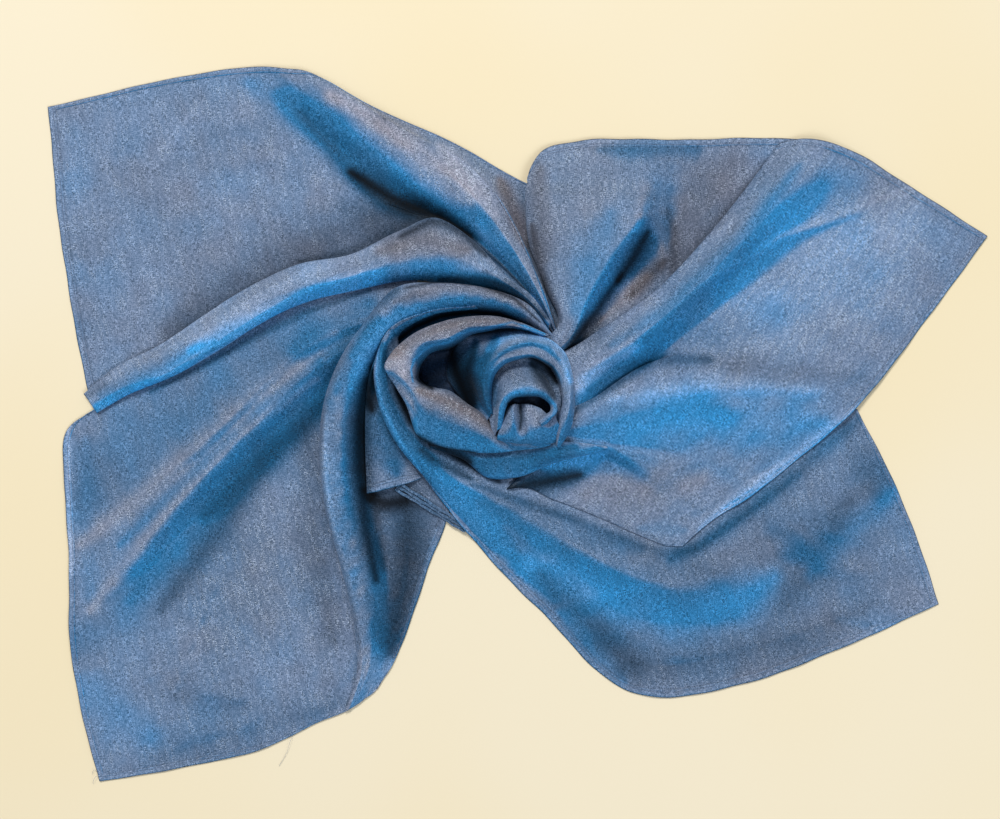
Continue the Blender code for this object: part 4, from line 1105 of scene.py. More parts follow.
west_pleat = shell(
    "west_pleat", WEST_PLEAT,
    creases=(
        ("long crease", 3.5, 1.0, (150, 366), (250, 305), (350, 268), (430, 245)),
        ("near line", 2.2, 0.9, (130, 393), (220, 346), (310, 300), (400, 281), (440, 280)),
        ("far crease", 5, 0.9, (400, 240), (450, 232), (490, 262)),
    ),
    # Painted light on the far side, the blue band and the near edge's bright line, and painted shade along
    # both feet and on the mauve top.
    strokes=(
        ("far side", 10, -0.02, 0.50, 0.4, (110, 380), (200, 324), (300, 272), (380, 246)),
        ("top mauve", 14, -0.6, -0.36, 0.3, (380, 250), (430, 240), (466, 250)),
        ("blue band", 9, 0.50, 1.3, 0.1, (190, 350), (232, 330), (273, 313), (320, 292), (380, 275)),
        ("blue band east", 9, -0.10, 0.30, 0.0, (330, 284), (370, 272), (440, 264), (480, 270)),
        ("near line", 2.2, -0.3, 0.40, 0.9, (96, 412), (178, 376), (256, 327), (310, 302), (360, 290),
         (402, 281)),
        ("foot dark", 7, 0.1, -0.75, 0.0, (440, 280), (480, 280), (510, 288), (545, 318)),
        ("root line", 4, 0.1, 0.05, 0.3, (480, 262), (510, 282), (540, 308)),
        ("hem end", 5, 0.1, 0.15, 0.3, (86, 398), (96, 410)),
        ("west wash", 10, 0.30, -0.12, 0.0, (100, 395), (150, 370), (200, 345)),
        ("far foot", 4, 0.0, -0.25, 0.0, (90, 394), (160, 350), (200, 324), (246, 297), (302, 268)),
        ("edge light", 2.6, 0.0, 0.75, 0.3, (98, 408), (150, 384), (225, 348), (305, 303), (350, 288),
         (390, 282)),
        ("far foot east", 6, 0.1, -0.75, 0.0, (400, 237), (430, 221), (447, 224), (466, 236), (486, 256)),
        ("blue band west", 7, 0.45, 0.40, 0.0, (96, 405), (140, 384), (180, 362), (215, 342)),
    ),
    below=["northwest_corner", "southwest_corner"], cell=1.6, lean=(0.3, -0.95), crumple=0.2, seed=23,
)
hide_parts("pleat_west")


# East panel. The right corner of the square climbs in one long ridge to the rosette. Its lower part is
# folded under along a soft edge, and its flat carries painted sparkles of light in streaks along the
# threads.

EAST = pointed(
    ribs(
        ("fold", "tuck", "root", "shoulder", "middle", "reach", "hem"),
        ("north foot", (552, 356, 34), (562, 352, 38), (610, 322, 18), (662, 284, 8), (722, 218, 4),
         (780, 143, 2)),
        ("north side", (551, 366, 38), (561, 362, 42), (612, 333, 36), (666, 295, 29), (732, 224, 21),
         (804, 138, 6)),
        ("crest", (552, 379, 40), (562, 376, 44), (617, 350, 40), (675, 306, 34), (748, 232, 29),
         (828, 142, 11)),
        ("blue slope", (553, 394, 39), (563, 392, 43), (620, 366, 29), (684, 318, 20), (776, 236, 15),
         (864, 157, 5)),
        ("trough", (554, 406, 37), (564, 405, 40), (624, 379, 17), (696, 328, 8), (806, 250, 6),
         (908, 185, 3)),
        ("corner", (555, 411, 36), (565, 410, 39), (638, 371, 14), (728, 330, 8), (845, 276, 7),
         (988, 236, 1)),
        ("east hem", (555, 415, 36), (565, 414, 39), (648, 364, 17), (740, 350, 10), (835, 336, 8),
         (926, 320, 1)),
        ("lower crest", (555, 421, 36), (565, 420, 40), (652, 380, 28), (742, 379, 21), (818, 388, 13),
         (866, 398, 4)),
        ("lower blue", (553, 430, 35), (563, 429, 39), (650, 412, 27), (738, 416, 20), (796, 423, 14),
         (838, 426, 7)),
        ("lower flat", (550, 439, 32), (560, 438, 36), (640, 446, 24), (712, 458, 17), (756, 464, 13),
         (792, 464, 8)),
        ("fold crest", (546, 447, 32), (556, 446, 36), (604, 446, 31), (668, 478, 18), (710, 490, 14),
         (748, 498, 10)),
        ("under fold", (538, 457, 23), (548, 456, 27), (604, 458, 20), (662, 498, 15), (694, 512, 13),
         (712, 520, 10)),
        ("tip", (526, 469, 18), (536, 468, 21), (590, 488, 15), (640, 515, 13), (664, 532, 12),
         (682, 546, 10)),
        ("tip back", (506, 489, 15), (516, 488, 18), (552, 499, 13), (598, 517, 12), (634, 533, 11),
         (664, 545, 10)),
    ),
    5,
    12,
)
east = shell(
    "east_corner", EAST,
    creases=(
        ("fine ridge", 5, 1.8, (640, 335), (700, 286), (780, 240), (860, 210), (905, 190)),
        ("blue gully", 10, -1.8, (650, 352), (720, 290), (800, 215)),
        ("streak", 8, 1.0, (745, 300), (800, 262), (870, 232)),
        ("streak two", 8, 1.0, (760, 335), (830, 290), (905, 250)),
        ("lower trough", 8, -2.0, (612, 372), (680, 360), (750, 366), (800, 378)),
        ("lower ridge", 9, 1.6, (615, 402), (690, 390), (770, 386), (840, 396)),
        ("blue dip", 10, -1.4, (610, 428), (690, 418), (770, 420)),
        ("front fold", 5, 1.6, (565, 458), (590, 452), (612, 446)),
        ("front hollow", 8, -1.6, (560, 478), (610, 476), (650, 490)),
        ("edge roll", 5, 1.2, (855, 412), (790, 462), (705, 520)),
    ),
    # Painted shade in the dark valley, at the root and under the front fold and the tip, painted highlights
    # on the ridges, the front fold and the edge, and painted sparkle in streaks on the flat.
    strokes=(
        ("ridge", 8, 0.42, -0.10, 0.3, (612, 345), (675, 300), (745, 230), (800, 165)),
        ("north side", 8, 0.05, 0.32, 0.3, (610, 330), (665, 288), (730, 222)),
        ("blue slope", 20, 0.48, 0.14, -0.1, (640, 352), (700, 298), (765, 240), (820, 190)),
        ("root blue", 10, -0.50, 0.75, 0.1, (570, 392), (600, 372), (640, 346)),
        ("root shade", 5, 0.4, -0.45, 0.0, (572, 412), (610, 388), (650, 362)),
        ("fine ridge", 6, -0.12, 0.10, 0.9, (690, 292), (780, 238), (860, 206), (920, 186)),
        ("flat", 55, 0.15, 0.16, 1.2, (770, 320), (900, 240)),
        ("flat left", 22, 0.22, -0.14, 0.5, (690, 340), (780, 316)),
        ("dark valley", 9, 0.4, -0.40, -0.2, (590, 390), (618, 368), (660, 358), (710, 360)),
        ("lower highlight", 9, 0.15, 0.38, 0.7, (610, 400), (700, 388), (820, 392)),
        ("lower blue", 34, 0.50, 0.20, 0.0, (580, 440), (650, 428), (724, 424), (820, 420)),
        ("mauve", 22, -0.35, -0.12, 0.2, (590, 492), (660, 490), (700, 480)),
        ("front fold", 9, 1.2, 1.0, 0.0, (545, 466), (575, 459), (604, 451)),
        ("front dark", 13, 0.5, -0.93, -0.2, (478, 494), (530, 485), (580, 475)),
        ("tip blue", 8, 0.3, 0.0, 0.1, (640, 528), (684, 530)),
        ("edge", 9, 0.30, 0.85, 0.3, (862, 408), (790, 465), (700, 530)),
        ("top blue", 30, 0.30, 0.08, 0.2, (770, 225), (815, 186), (850, 180)),
        ("valley end", 12, 0.0, -0.20, -0.1, (700, 358), (770, 368), (860, 378)),
        ("tip shade", 7, 0.1, -0.30, 0.1, (510, 492), (570, 512), (630, 535), (668, 546)),
        ("sparkle streaks", 42, 0.05, 0.14, 1.0, (700, 350), (770, 300), (840, 250), (900, 214)),
        ("flat blue", 22, 0.32, 0.04, 0.0, (620, 430), (680, 420), (730, 420)),
    ),
    below=["north_side", "southeast_corner"], lean=(0.35, -0.93), threads=-30, hem=True, seed=29,
)
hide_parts("panel_east")


# Low petal. A fold of the same voile peeps out under the rosette's front like a lip. The twirl alone
# gives it its shape, and the rolls that press on it hold it down.

SOUTH_PETAL = ribs(
    ("section", "top", "crest", "lower edge", "tuck"),
    ("west end", (424, 436, 24), (428, 442, 27), (430, 446, 26), (430, 448, 23)),
    ("west", (452, 440, 24), (456, 449, 29), (461, 457, 26), (462, 459, 22)),
    ("point", (482, 445, 27), (486, 461, 31), (488, 475, 26), (488, 478, 20)),
    ("south", (512, 439, 28), (516, 462, 33), (519, 475, 27), (519, 477, 21)),
    ("east", (543, 439, 33), (548, 455, 37), (552, 461, 32), (552, 464, 26)),
    ("end", (560, 441, 41), (568, 450, 41), (573, 456, 37), (573, 458, 32)),
    ("fold", (584, 443, 36), (588, 447, 36), (592, 452, 33), (592, 454, 29)),
    ("fold tip", (606, 446, 30), (607, 447, 30), (608, 448, 29), (608, 449, 27)),
)
petal = shell(
    "south_petal", SOUTH_PETAL,
    creases=(
        ("fold", 3, 0.7, (440, 446), (480, 458), (530, 458)),
    ),
    # Painted shade at its left end and over its upper part, and a painted light line on its lower edge.
    strokes=(
        ("left shade", 9, 0.2, -0.88, -0.3, (424, 442), (445, 450), (470, 462)),
        ("front blue", 9, 1.1, -0.10, 0.0, (470, 470), (515, 472), (560, 460), (600, 450)),
        ("upper", 9, 0.90, -0.38, 0.0, (440, 448), (480, 462), (530, 458), (575, 447)),
        ("lower edge", 2.5, 0.1, 0.40, 0.3, (484, 476), (520, 476), (552, 464), (602, 450)),
    ),
    below=["southeast_corner", "east_corner"], cell=ROLL_SHELL_CELL, crumple=0.2, seed=31,
)
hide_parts("petal_south")


# Outer roll. The first turn of the rosette stands up round the dark well. Its back is painted the
# paler mauve of the shot cloth and dimmed with painted shade, and its raw-looking inner rim waves in
# and out.

OUTER_ROLL = ribs(
    ("section", "foot", "outer edge", "crest", "brow", "rim", "inside", "deep"),
    ("tail", (546, 339, 40), (549, 335, 44), (547, 336, 47), (544, 336, 46), (542, 337, 40), (541, 339, 34),
     (541, 341, 32)),
    ("a", (520, 327, 36), (519, 322, 42), (517, 324, 48), (513, 326, 48), (512, 325, 42), (511, 328, 34),
     (511, 331, 24)),
    ("b", (493, 322, 33), (492, 316, 40), (490, 320, 49), (488, 326, 50), (488, 328, 44), (488, 331, 32),
     (487, 334, 15)),
    ("c", (467, 323, 31), (465, 317, 39), (466, 321, 49), (467, 327, 50), (470, 331, 44), (471, 334, 31),
     (472, 337, 13)),
    ("d", (442, 328, 30), (438, 323, 38), (441, 328, 49), (446, 337, 51), (450, 342, 45), (452, 345, 30),
     (454, 348, 12)),
    ("e", (415, 340, 31), (410, 336, 38), (414, 340, 49), (420, 344, 52), (427, 347, 46), (430, 350, 30),
     (432, 353, 11)),
    ("f", (397, 356, 33), (390, 355, 39), (396, 357, 49), (406, 360, 53), (415, 362, 48), (418, 364, 30),
     (421, 366, 10)),
    ("g", (393, 371, 35), (385, 369, 40), (392, 371, 49), (402, 374, 53), (413, 377, 48), (416, 377, 30),
     (419, 377, 10)),
    ("h", (400, 385, 35), (395, 386, 39), (401, 384, 48), (408, 384, 52), (417, 384, 48), (420, 383, 30),
     (423, 382, 10)),
    ("i", (409, 404, 33), (406, 405, 37), (410, 398, 46), (414, 391, 51), (420, 388, 49), (424, 386, 30),
     (427, 385, 10)),
    ("corner", (420, 430, 30), (417, 436, 34), (420, 419, 43), (422, 403, 50), (426, 391, 50), (430, 388, 30),
     (434, 387, 11)),
    ("j", (441, 440, 31), (440, 446, 34), (438, 428, 43), (438, 408, 50), (441, 394, 50), (447, 390, 38),
     (452, 393, 12)),
    ("k", (468, 445, 32), (468, 452, 35), (464, 436, 43), (461, 418, 49), (461, 407, 49), (465, 403, 40),
     (470, 405, 13)),
    ("l", (494, 446, 33), (495, 453, 36), (489, 444, 42), (484, 430, 46), (482, 419, 46), (483, 416, 41),
     (486, 415, 30)),
    ("m", (518, 444, 34), (519, 450, 35), (512, 447, 37), (506, 443, 38), (501, 439, 39), (500, 436, 36),
     (500, 434, 33)),
    ("n", (537, 445, 35), (540, 448, 36), (534, 446, 37), (529, 443, 38), (525, 440, 38), (524, 438, 36),
     (523, 436, 34)),
    ("end", (550, 444, 37), (551, 445, 38), (549, 444, 39), (547, 443, 39), (545, 442, 38), (544, 441, 37),
     (543, 440, 35)),
)
outer_roll = shell(
    "outer_roll", OUTER_ROLL,
    creases=(
        ("back crease", 3, 0.8, (520, 322), (470, 321), (420, 338)),
        ("left crease", 3, 0.8, (392, 362), (405, 395), (418, 420)),
        ("front crease", 4, 0.8, (425, 415), (455, 425), (490, 440)),
        ("rim wave", 3, 0.9, (440, 343), (452, 337), (470, 329)),
    ),
    # Painted shadow inside the rim and along the left foot, painted shade on the back, the inner face and the
    # front, painted light on the left tan walls and the corner edge, and a painted light line on the rim.
    strokes=(
        ("back tan", 10, -0.8, -0.38, 0.5, (388, 355), (420, 335), (450, 325), (480, 320), (520, 322)),
        ("left tan", 12, -0.7, 0.25, 0.6, (388, 366), (400, 358), (404, 376)),
        ("lower left tan", 6, -0.5, 0.15, 0.5, (400, 386), (412, 402)),
        ("rim lip", 1.7, 1.2, 0.5, 0.0, (545, 334), (525, 326), (512, 322), (497, 326), (482, 329),
         (470, 330), (458, 335), (448, 343), (432, 346), (424, 351), (414, 360), (411, 370), (413, 382)),
        ("inner tan", 8, -1.1, -0.46, 0.9, (418, 390), (445, 400), (470, 412), (500, 432)),
        ("front mauve", 9, -0.10, -0.22, 0.3, (424, 408), (460, 425), (498, 440)),
        ("front blue", 9, 0.42, 0.0, 0.0, (412, 426), (440, 440), (470, 447), (510, 448)),
        ("front lower edge", 2.5, 0.6, -0.10, 0.0, (420, 440), (445, 448), (475, 452), (505, 451)),
        ("corner edge", 2.0, 0.4, 0.25, 0.2, (404, 398), (413, 412), (418, 426), (416, 436)),
        ("inside", 6, 0.2, -0.98, -0.4, (500, 331), (475, 339), (455, 348), (432, 357), (423, 367),
         (422, 380), (432, 388)),
        ("left foot", 3.5, 0.1, -0.93, -0.3, (383, 372), (395, 395), (404, 414), (413, 434), (440, 449),
         (475, 453)),
        ("wall tan", 6, -0.6, 0.0, 0.5, (390, 376), (404, 396), (414, 416)),
    ),
    below=["southeast_corner", "south_petal"], cell=ROLL_SHELL_CELL, lean=(0.0, -1.0), crumple=0.2, seed=37,
)
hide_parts("roll_outer")


# Middle roll. The second turn of the same cloth climbs higher. Its left wall drops straight into the
# well, and nothing but the twist holds it up.

MIDDLE_ROLL = ribs(
    ("section", "skirt", "foot", "wall", "crest", "groove", "rim", "inside"),
    ("start", (486, 421, 38), (489, 418, 40), (490, 416, 43), (491, 414, 45), (492, 414, 45), (493, 415, 44),
     (494, 416, 41)),
    ("west", (462, 400, 22), (474, 396, 34), (479, 394, 46), (484, 391, 57), (487, 390, 56), (489, 390, 55),
     (492, 390, 45)),
    ("north west", (446, 372, 16), (464, 370, 30), (475, 370, 46), (486, 371, 58), (490, 371, 57),
     (493, 372, 56), (496, 374, 46)),
    ("upper", (458, 342, 20), (476, 348, 32), (486, 352, 47), (495, 358, 60), (500, 358, 58), (504, 360, 58),
     (506, 364, 48)),
    ("north", (490, 330, 30), (498, 337, 36), (505, 341, 50), (512, 347, 61), (516, 350, 58), (520, 355, 59),
     (522, 359, 48)),
    ("crown", (520, 330, 37), (522, 334, 41), (526, 338, 53), (531, 343, 62), (532, 347, 59), (532, 354, 60),
     (532, 358, 49)),
    ("north east", (546, 337, 44), (546, 339, 46), (547, 343, 55), (548, 348, 62), (547, 353, 60),
     (544, 359, 60), (542, 362, 50)),
    ("east top", (564, 351, 47), (563, 352, 49), (562, 356, 57), (560, 360, 62), (557, 363, 60),
     (555, 367, 60), (552, 370, 51)),
    ("east", (573, 376, 48), (572, 376, 50), (571, 377, 57), (568, 379, 61), (565, 381, 60), (562, 384, 58),
     (560, 386, 51)),
    ("east foot", (575, 402, 47), (574, 402, 49), (572, 402, 56), (569, 403, 60), (566, 403, 59),
     (564, 403, 57), (562, 403, 52)),
    ("south east", (572, 425, 46), (571, 424, 48), (569, 422, 54), (566, 420, 58), (563, 419, 57),
     (561, 418, 55), (559, 417, 52)),
    ("tail", (566, 438, 43), (565, 437, 45), (564, 436, 49), (562, 434, 52), (560, 433, 52), (559, 432, 51),
     (557, 431, 49)),
    ("end", (559, 448, 41), (558.5, 447.5, 42), (558, 447, 43), (557.5, 446.5, 44), (557, 446, 44),
     (556.5, 445.5, 43), (556, 445, 42)),
)
middle_roll = shell(
    "middle_roll", MIDDLE_ROLL,
    creases=(
        ("left crease", 3, 0.8, (478, 402), (478, 372), (490, 354)),
        ("right crease", 3, 0.8, (572, 372), (572, 400), (566, 425)),
    ),
    # Painted shadow down the left wall into the well, under the rim and inside, and painted light along the
    # crest, the inner edge and the right wall.
    strokes=(
        ("shadowed wall", 20, 0.6, -0.99, -0.5, (446, 334), (456, 372), (472, 412)),
        ("blue wall", 8, 1.0, -0.50, -0.2, (496, 338), (485, 362), (485, 392), (495, 418)),
        ("crest light", 6, 0.40, 1.1, 0.3, (488, 350), (505, 337), (525, 333), (550, 338), (564, 352),
         (571, 382)),
        ("groove", 3, 0.6, -0.10, 0.0, (498, 354), (515, 345), (530, 342), (548, 347), (560, 360)),
        ("rim dark", 1.6, 0.0, -0.4, 0.0, (497, 358), (510, 353), (525, 351)),
        ("inner edge", 1.5, 0.2, 0.25, 0.2, (484, 385), (486, 402), (489, 409)),
        ("right wall", 6, 0.1, 0.12, 0.2, (568, 370), (569, 400), (560, 432)),
        ("under rim", 6, 0.2, -0.95, -0.4, (470, 334), (495, 331), (520, 329), (538, 333)),
        ("inside dark", 6, 0.2, -0.97, -0.4, (520, 362), (535, 362), (549, 369), (557, 385)),
        ("dark wall", 8, 0.9, -0.80, -0.3, (476, 342), (468, 370), (474, 404)),
    ),
    cell=ROLL_SHELL_CELL, crumple=0.15, seed=41,
)
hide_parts("roll_middle")


# Inner roll. The last turn of the voile curls over itself like a hood. It is wound round by hand and
# rests on the middle roll.

INNER_ROLL = ribs(
    ("section", "skirt", "foot", "wall", "crest", "rim", "inside"),
    ("start", (493, 437, 40), (495, 435, 42), (496, 432, 46), (498, 430, 49), (500, 429, 49), (502, 430, 45)),
    ("west", (488, 405, 39), (495, 404, 46), (498, 403, 54), (502, 402, 62), (505, 404, 61), (507, 406, 55)),
    ("north west", (490, 372, 39), (500, 378, 45), (504, 385, 56), (511, 392, 65), (514, 395, 64),
     (515, 398, 57)),
    ("north", (508, 353, 41), (514, 366, 45), (520, 376, 57), (527, 388, 66), (527, 393, 65), (527, 397, 58)),
    ("north east", (536, 357, 42), (534, 366, 45), (538, 378, 57), (543, 390, 66), (541, 394, 65),
     (539, 397, 58)),
    ("east", (556, 378, 43), (548, 380, 46), (552, 389, 56), (555, 402, 65), (552, 403, 64), (549, 404, 57)),
    ("south east", (561, 402, 46), (555, 402, 50), (557, 407, 57), (556, 412, 63), (553, 412, 63),
     (550, 411, 57)),
    ("tail", (557, 425, 46), (550, 422, 50), (550, 420, 56), (549, 418, 62), (546, 417, 62), (544, 415, 57)),
    ("end", (550, 434, 47), (543, 429, 52), (542, 427, 56), (540, 424, 60), (538, 422, 60), (537, 420, 56)),
)
inner_roll = shell(
    "inner_roll", INNER_ROLL,
    creases=(
        ("hood crease", 3, 0.7, (503, 395), (515, 378), (535, 374)),
    ),
    # Painted shadow on its dark sides and inside the hood, painted shade on the hood's face, and a painted
    # light line on the rim.
    strokes=(
        ("dark side", 9, 0.2, -0.97, -0.4, (530, 356), (546, 364), (557, 382)),
        ("blue side", 7, 0.5, -0.25, 0.0, (492, 378), (494, 405)),
        ("hood", 11, -0.05, -0.22, 0.2, (504, 372), (524, 378)),
        ("rim light", 2.4, 0.5, 0.15, 0.1, (500, 408), (505, 398), (515, 391), (530, 388), (545, 393),
         (555, 405), (553, 416), (545, 424)),
        ("inside", 4, 0.1, -0.97, -0.3, (508, 404), (514, 400), (528, 398), (540, 400), (548, 408)),
        ("dark left", 3, 0.2, -0.85, -0.2, (487, 402), (489, 380), (500, 362), (512, 356)),
        ("right dark", 8, 0.15, -0.78, 0.1, (532, 364), (546, 384), (554, 398)),
    ),
    cell=0.9, crumple=0.1, seed=43,
)
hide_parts("roll_inner")


# Folds in the eye. The very middle of the square shows as a pinched finger fold beside a soft swell. It
# is the same voile, pushed up through the inner roll by the twirl.

CENTRE_FOLD = ribs(
    ("section", "foot", "front", "brow", "top", "back"),
    ("west", (497, 440, 41), (497, 437, 45), (499, 431, 48), (503, 421, 49), (507, 408, 48)),
    ("finger", (510, 443, 42), (511, 440, 49), (512, 431, 55), (512, 420, 58), (514, 404, 55)),
    ("valley", (520, 444, 42), (520, 441, 48), (520, 432, 51), (520, 420, 50), (519, 404, 46)),
    ("swell", (531, 444, 42), (531, 441, 49), (530, 434, 54), (529, 421, 57), (528, 404, 53)),
    ("east", (544, 444, 41), (544, 441, 46), (543, 435, 52), (541, 424, 57), (540, 408, 53)),
    ("south east", (556, 442, 41), (556, 438, 45), (553, 433, 50), (550, 426, 54), (548, 414, 52)),
    ("joined", (564, 434, 42), (563, 430, 48), (560, 426, 52), (557, 420, 54), (553, 410, 52)),
)
centre_fold = shell(
    "centre_fold", CENTRE_FOLD,
    creases=(
        ("finger", 3, 1.0, (513, 404), (514, 420), (514, 436)),
        ("gully", 2.4, -1.4, (521, 402), (522, 420), (521, 432)),
    ),
    # Painted shadow in the gully and round its left and top edges, and painted light on the finger and the
    # front.
    strokes=(
        ("gully", 2.6, 0.2, -0.88, -0.1, (520, 402), (521, 420), (520, 430)),
        ("left dark", 4, 0.1, -0.96, -0.2, (503, 410), (508, 400)),
        ("top dark", 4, 0.1, -0.95, -0.2, (512, 399), (530, 396), (545, 401)),
        ("finger", 2.4, 0.3, 0.1, 0.1, (511, 405), (513, 420), (515, 430)),
        ("swell", 9, -0.25, -0.05, 0.3, (530, 410), (545, 422)),
        ("front", 4, 0.3, 0.10, 0.1, (500, 437), (525, 436), (556, 438)),
    ),
    cell=0.9, lean=(0.1, -0.45), crumple=0.1, seed=47,
)
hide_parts("fold_centre")


# Twisted core. Under the rosette the rest of the cloth is twisted together. It shows only deep in the
# well, as folds that swirl round the middle, painted dark for the shade in the well.

CORE_OUTLINE = (
    (381, 380), (388, 342), (422, 316), (474, 311), (514, 314), (552, 327), (572, 350),
    (572, 410), (560, 444), (520, 462), (476, 465), (436, 455), (399, 420),
)
CORE_MIDDLE = (505.0, 388.0)
CORE_TOP = 44.0
CORE_RIM = 2.0
WELL_FLOOR = 15.0
WELL_EDGE = (470.0, 500.0)
CORE_SPOKES = 180
CORE_RINGS = 64
SWIRL_FOLDS = 9
SWIRL_TURN = 2.4
SWIRL_HEIGHT = 2.2
CORE_CLEARANCE = 1.6 * MM
LEAST_CORE = 0.8 * MM
CORE_HUB = 0.03
LEAST_UP = 1.0
UP = Vector((0, 0, 1))

# The core keeps clear of the cloth over each of its points and 2 mm to each side of it.
PROBES = ((0, 0), (2 * MM, 0), (-2 * MM, 0), (0, 2 * MM), (0, -2 * MM))
UNDER_TABLE = -0.01

# A darker copy of the cloth for the core, which paints the shade deep in the well.
shaded_well_voile = shot_cloth(
    "shaded_well_voile", weave,
    flat=(0.05, 0.09, 0.18),
    slope=(0.01, 0.06, 0.17),
    warm=(0.05, 0.05, 0.08),
    sparkle=(0.3, 0.36, 0.5),
    sheen=0.0,
)

outline = np.array([*CORE_OUTLINE[-2:], *CORE_OUTLINE, *CORE_OUTLINE[:3]], float)
knots = np.arange(-2.0, len(CORE_OUTLINE) + 3.0)
spokes = through(outline, knots, np.linspace(0, len(CORE_OUTLINE), CORE_SPOKES + 1)[:-1])
core_points = []
for share in np.linspace(1.0, CORE_HUB, CORE_RINGS):
    for k, spoke in enumerate(spokes):
        east, south = np.array(CORE_MIDDLE) + (spoke - CORE_MIDDLE) * share
        full = np.interp(east, WELL_EDGE, (WELL_FLOOR, CORE_TOP))
        up = CORE_RIM + (full - CORE_RIM) * np.sqrt(1 - share**4)
        swirl = np.sin(SWIRL_FOLDS * (2 * np.pi * k / CORE_SPOKES + SWIRL_TURN * share))
        up += (SWIRL_HEIGHT * swirl - SWIRL_HEIGHT) * share * min(1.0, 6 * (1 - share))
        x, y, z = in_frame(np.array((east, south, max(up, LEAST_UP))))
        roof = z + SKY
        for net, low, high in laid.values():
            for dx, dy in PROBES:
                hit = net.ray_cast(Vector((x + dx, y + dy, UNDER_TABLE)), UP)[0]
                roof = roof if hit is None else min(roof, hit.z)
        core_points.append((x, y, max(LEAST_CORE, min(z, roof - CORE_CLEARANCE))))

# The core's rim is carried straight down to a flat floor, and a small cap closes its middle.
floor = len(core_points)
core_points += [(x, y, 0.0) for x, y, z in core_points[:CORE_SPOKES]]
starts = [floor, *range(0, floor, CORE_SPOKES)]
core_faces = []
for a, b in zip(starts, starts[1:]):
    for i in range(CORE_SPOKES):
        j = (i + 1) % CORE_SPOKES
        core_faces.append((a + i, b + i, b + j, a + j))
core_faces.append(tuple(range(floor, floor + CORE_SPOKES)))
core_faces.append(tuple(range(floor - CORE_SPOKES, floor))[::-1])
# The core is painted much darker all over for the shade deep in the well, with little sparkle.
core_mesh = plain_cloth("twisted_core", core_points, core_faces, 0.55, 0.25, 0.1)
core_mesh.shade_smooth()
twisted_core = placed("twisted_core", core_mesh, shaded_well_voile)
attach(twisted_core, "root")
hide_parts("core")


# Hem stitches. One row of straight lockstitches in a thread a little paler than the cloth runs round
# the square, just inside the turned edge. Each stitch is a short raised dash of thread, and a few
# thread ends hang loose at the bottom edge.

STITCH = 2.5 * MM
STITCH_PITCH = 3.3 * MM
STITCH_LIFT = 0.12 * MM
STITCH_SIDES = 6
STITCH_RINGS = ((0.0, 0.35), (0.18, 0.9), (0.5, 1.0), (0.82, 0.9), (1.0, 0.35))
SEAM_END = 4 * MM
COVER = 1.5 * MM
THREAD = 0.42 * MM
THREAD_FLATNESS = 0.6

thread_material, tree, shader = painted("stitch_thread")
place = wired(tree, "ShaderNodeTexCoord").outputs["Object"]
noise = wired(tree, "ShaderNodeTexNoise", ("Vector", place), ("Scale", 900.0), ("Detail", 2.0)).outputs[0]
colour = blended(tree, noise, (0.05, 0.08, 0.16, 1), (0.22, 0.30, 0.46, 1))
feed(tree, shader, ("Base Color", colour), ("Roughness", 0.5))



def along_line(points, along, at):
    """The point on a line of points at a distance along it."""
    return np.array([np.interp(at, along, points[:, k]) for k in range(3)])


stitch_points, stitch_faces = [], []
for seam, facing in seams:
    along = run_along(seam)
    for start in np.arange(SEAM_END, along[-1] - SEAM_END, STITCH_PITCH):
        back, front = (along_line(seam, along, at) for at in (start, start + STITCH))
        upward = along_line(facing, along, start)
        upward /= np.linalg.norm(upward)
        middle = (back + front) / 2
        tops = [net.ray_cast(Vector((*middle[:2], SKY)), DOWN)[0] for net, low, high in laid.values()]
        if max(hit.z for hit in tops if hit is not None) > middle[2] + COVER:
            continue
        ahead = (front - back) / np.linalg.norm(front - back)
        aside = np.cross(upward, ahead)
        stitch_faces += tube_faces(len(stitch_points), len(STITCH_RINGS), STITCH_SIDES)
        for t, size in STITCH_RINGS:
            centre = back + (front - back) * t + upward * (STITCH_LIFT * size)
            for turn in range(STITCH_SIDES):
                angle = turn * 2 * np.pi / STITCH_SIDES
                spoke = aside * np.cos(angle) + upward * np.sin(angle) * THREAD_FLATNESS
                stitch_points.append(tuple(centre + spoke * THREAD / 2 * size))

THREAD_ENDS = (
    ("loose end", (293, 735, 0.6), (290, 742, 2.2), (287, 752, 1.2), (284, 758, 0.5), (279, 766, 0.4)),
    ("corner fray", (100, 779, 0.6), (97, 776, 1.8), (94, 779, 2.4), (93, 784, 0.8)),
    ("third fray", (98, 772, 0.6), (94, 770, 1.4), (92, 774, 0.6)),
)
END_STOPS = 25
END_SIDES = 5
END_RADIUS = 0.3

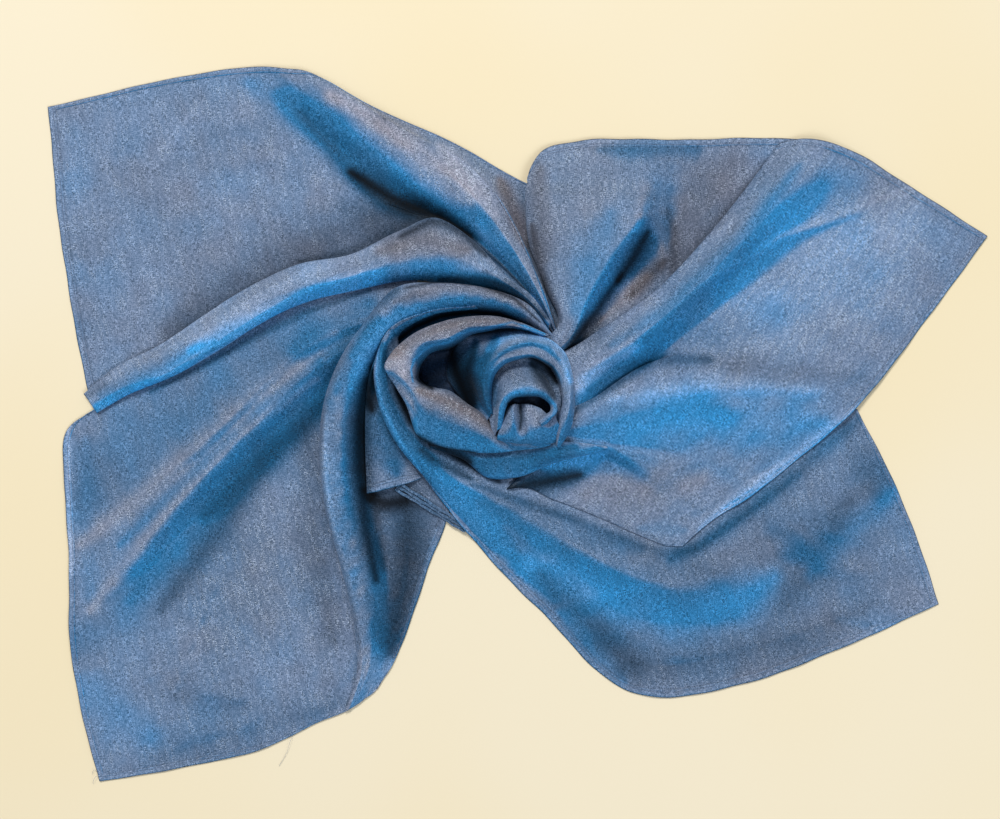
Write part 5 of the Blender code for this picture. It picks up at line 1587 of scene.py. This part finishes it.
for name, *stops in THREAD_ENDS:
    stops = np.array(stops, float)
    knots = mean_knots(stops)
    line = in_frame(smooth_points(stops, knots, np.linspace(0, knots[-1], END_STOPS)))
    stitch_faces += tube_faces(len(stitch_points), END_STOPS, END_SIDES)
    for k, point in enumerate(line):
        ahead = line[min(k + 1, END_STOPS - 1)] - line[max(k - 1, 0)]
        ahead /= np.linalg.norm(ahead)
        aside = np.cross((0, 0, 1), ahead)
        aside /= max(np.linalg.norm(aside), 1e-6)
        over = np.cross(ahead, aside)
        for turn in range(END_SIDES):
            angle = turn * 2 * np.pi / END_SIDES
            spoke = aside * np.cos(angle) + over * np.sin(angle)
            stitch_points.append(tuple(point + spoke * THREAD * END_RADIUS))

stitch_mesh = bpy.data.meshes.new("hem_stitches")
stitch_mesh.from_pydata(stitch_points, [], stitch_faces)
stitch_mesh.shade_smooth()
hem_stitches = placed("hem_stitches", stitch_mesh, thread_material)
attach(hem_stitches, "root")


# Table and light. A pale cream table top under a broad soft light from the far right, with a cooler
# window light from the near side.

TABLE_DROP = 0.3 * MM

table = bpy.data.meshes.new("table_top")
table.from_pydata([(-30, -30, 0), (30, -30, 0), (30, 30, 0), (-30, 30, 0)], [], [(0, 1, 2, 3)])
table_material, tree, shader = painted("pale_table")
place = wired(tree, "ShaderNodeTexCoord").outputs["Object"]
cloudy = wired(tree, "ShaderNodeTexNoise", ("Vector", place), ("Scale", 1.6), ("Detail", 2.0)).outputs[0]
shade = ranged(tree, cloudy, 0.35, 0.65, 0.0, 1.0)
colour = blended(tree, shade, (0.86, 0.74, 0.50, 1), (0.86, 0.765, 0.57, 1))
feed(tree, shader, ("Base Color", colour), ("Roughness", 0.6))
table_top = placed("table_top", table, table_material)
table_top.location.z = -TABLE_DROP

LIGHTS = (
    ("far_window", (-1.6, 4.8, 5.0), 2.2, 400.0, (1.0, 0.97, 0.92)),
    ("near_window", (2.8, -3.2, 4.4), 3.2, 130.0, (0.88, 0.94, 1.0)),
)
for name, place, size, power, colour in LIGHTS:
    lamp = bpy.data.lights.new(name, "AREA")
    lamp.shape = "DISK"
    lamp.size = size
    lamp.energy = power
    lamp.color = colour
    holder = bpy.data.objects.new(name, lamp)
    holder.location = place
    holder.rotation_euler = (-Vector(place)).to_track_quat("-Z", "Y").to_euler()
    bpy.context.scene.collection.objects.link(holder)

world = bpy.data.worlds.new("pale_room")
world.use_nodes = True
sky = world.node_tree.nodes["Background"]
feed(world.node_tree, sky, ("Color", (0.93, 0.96, 1.0, 1)), ("Strength", 0.34))
bpy.context.scene.world = world
bpy.context.scene.view_settings.view_transform = "Standard"
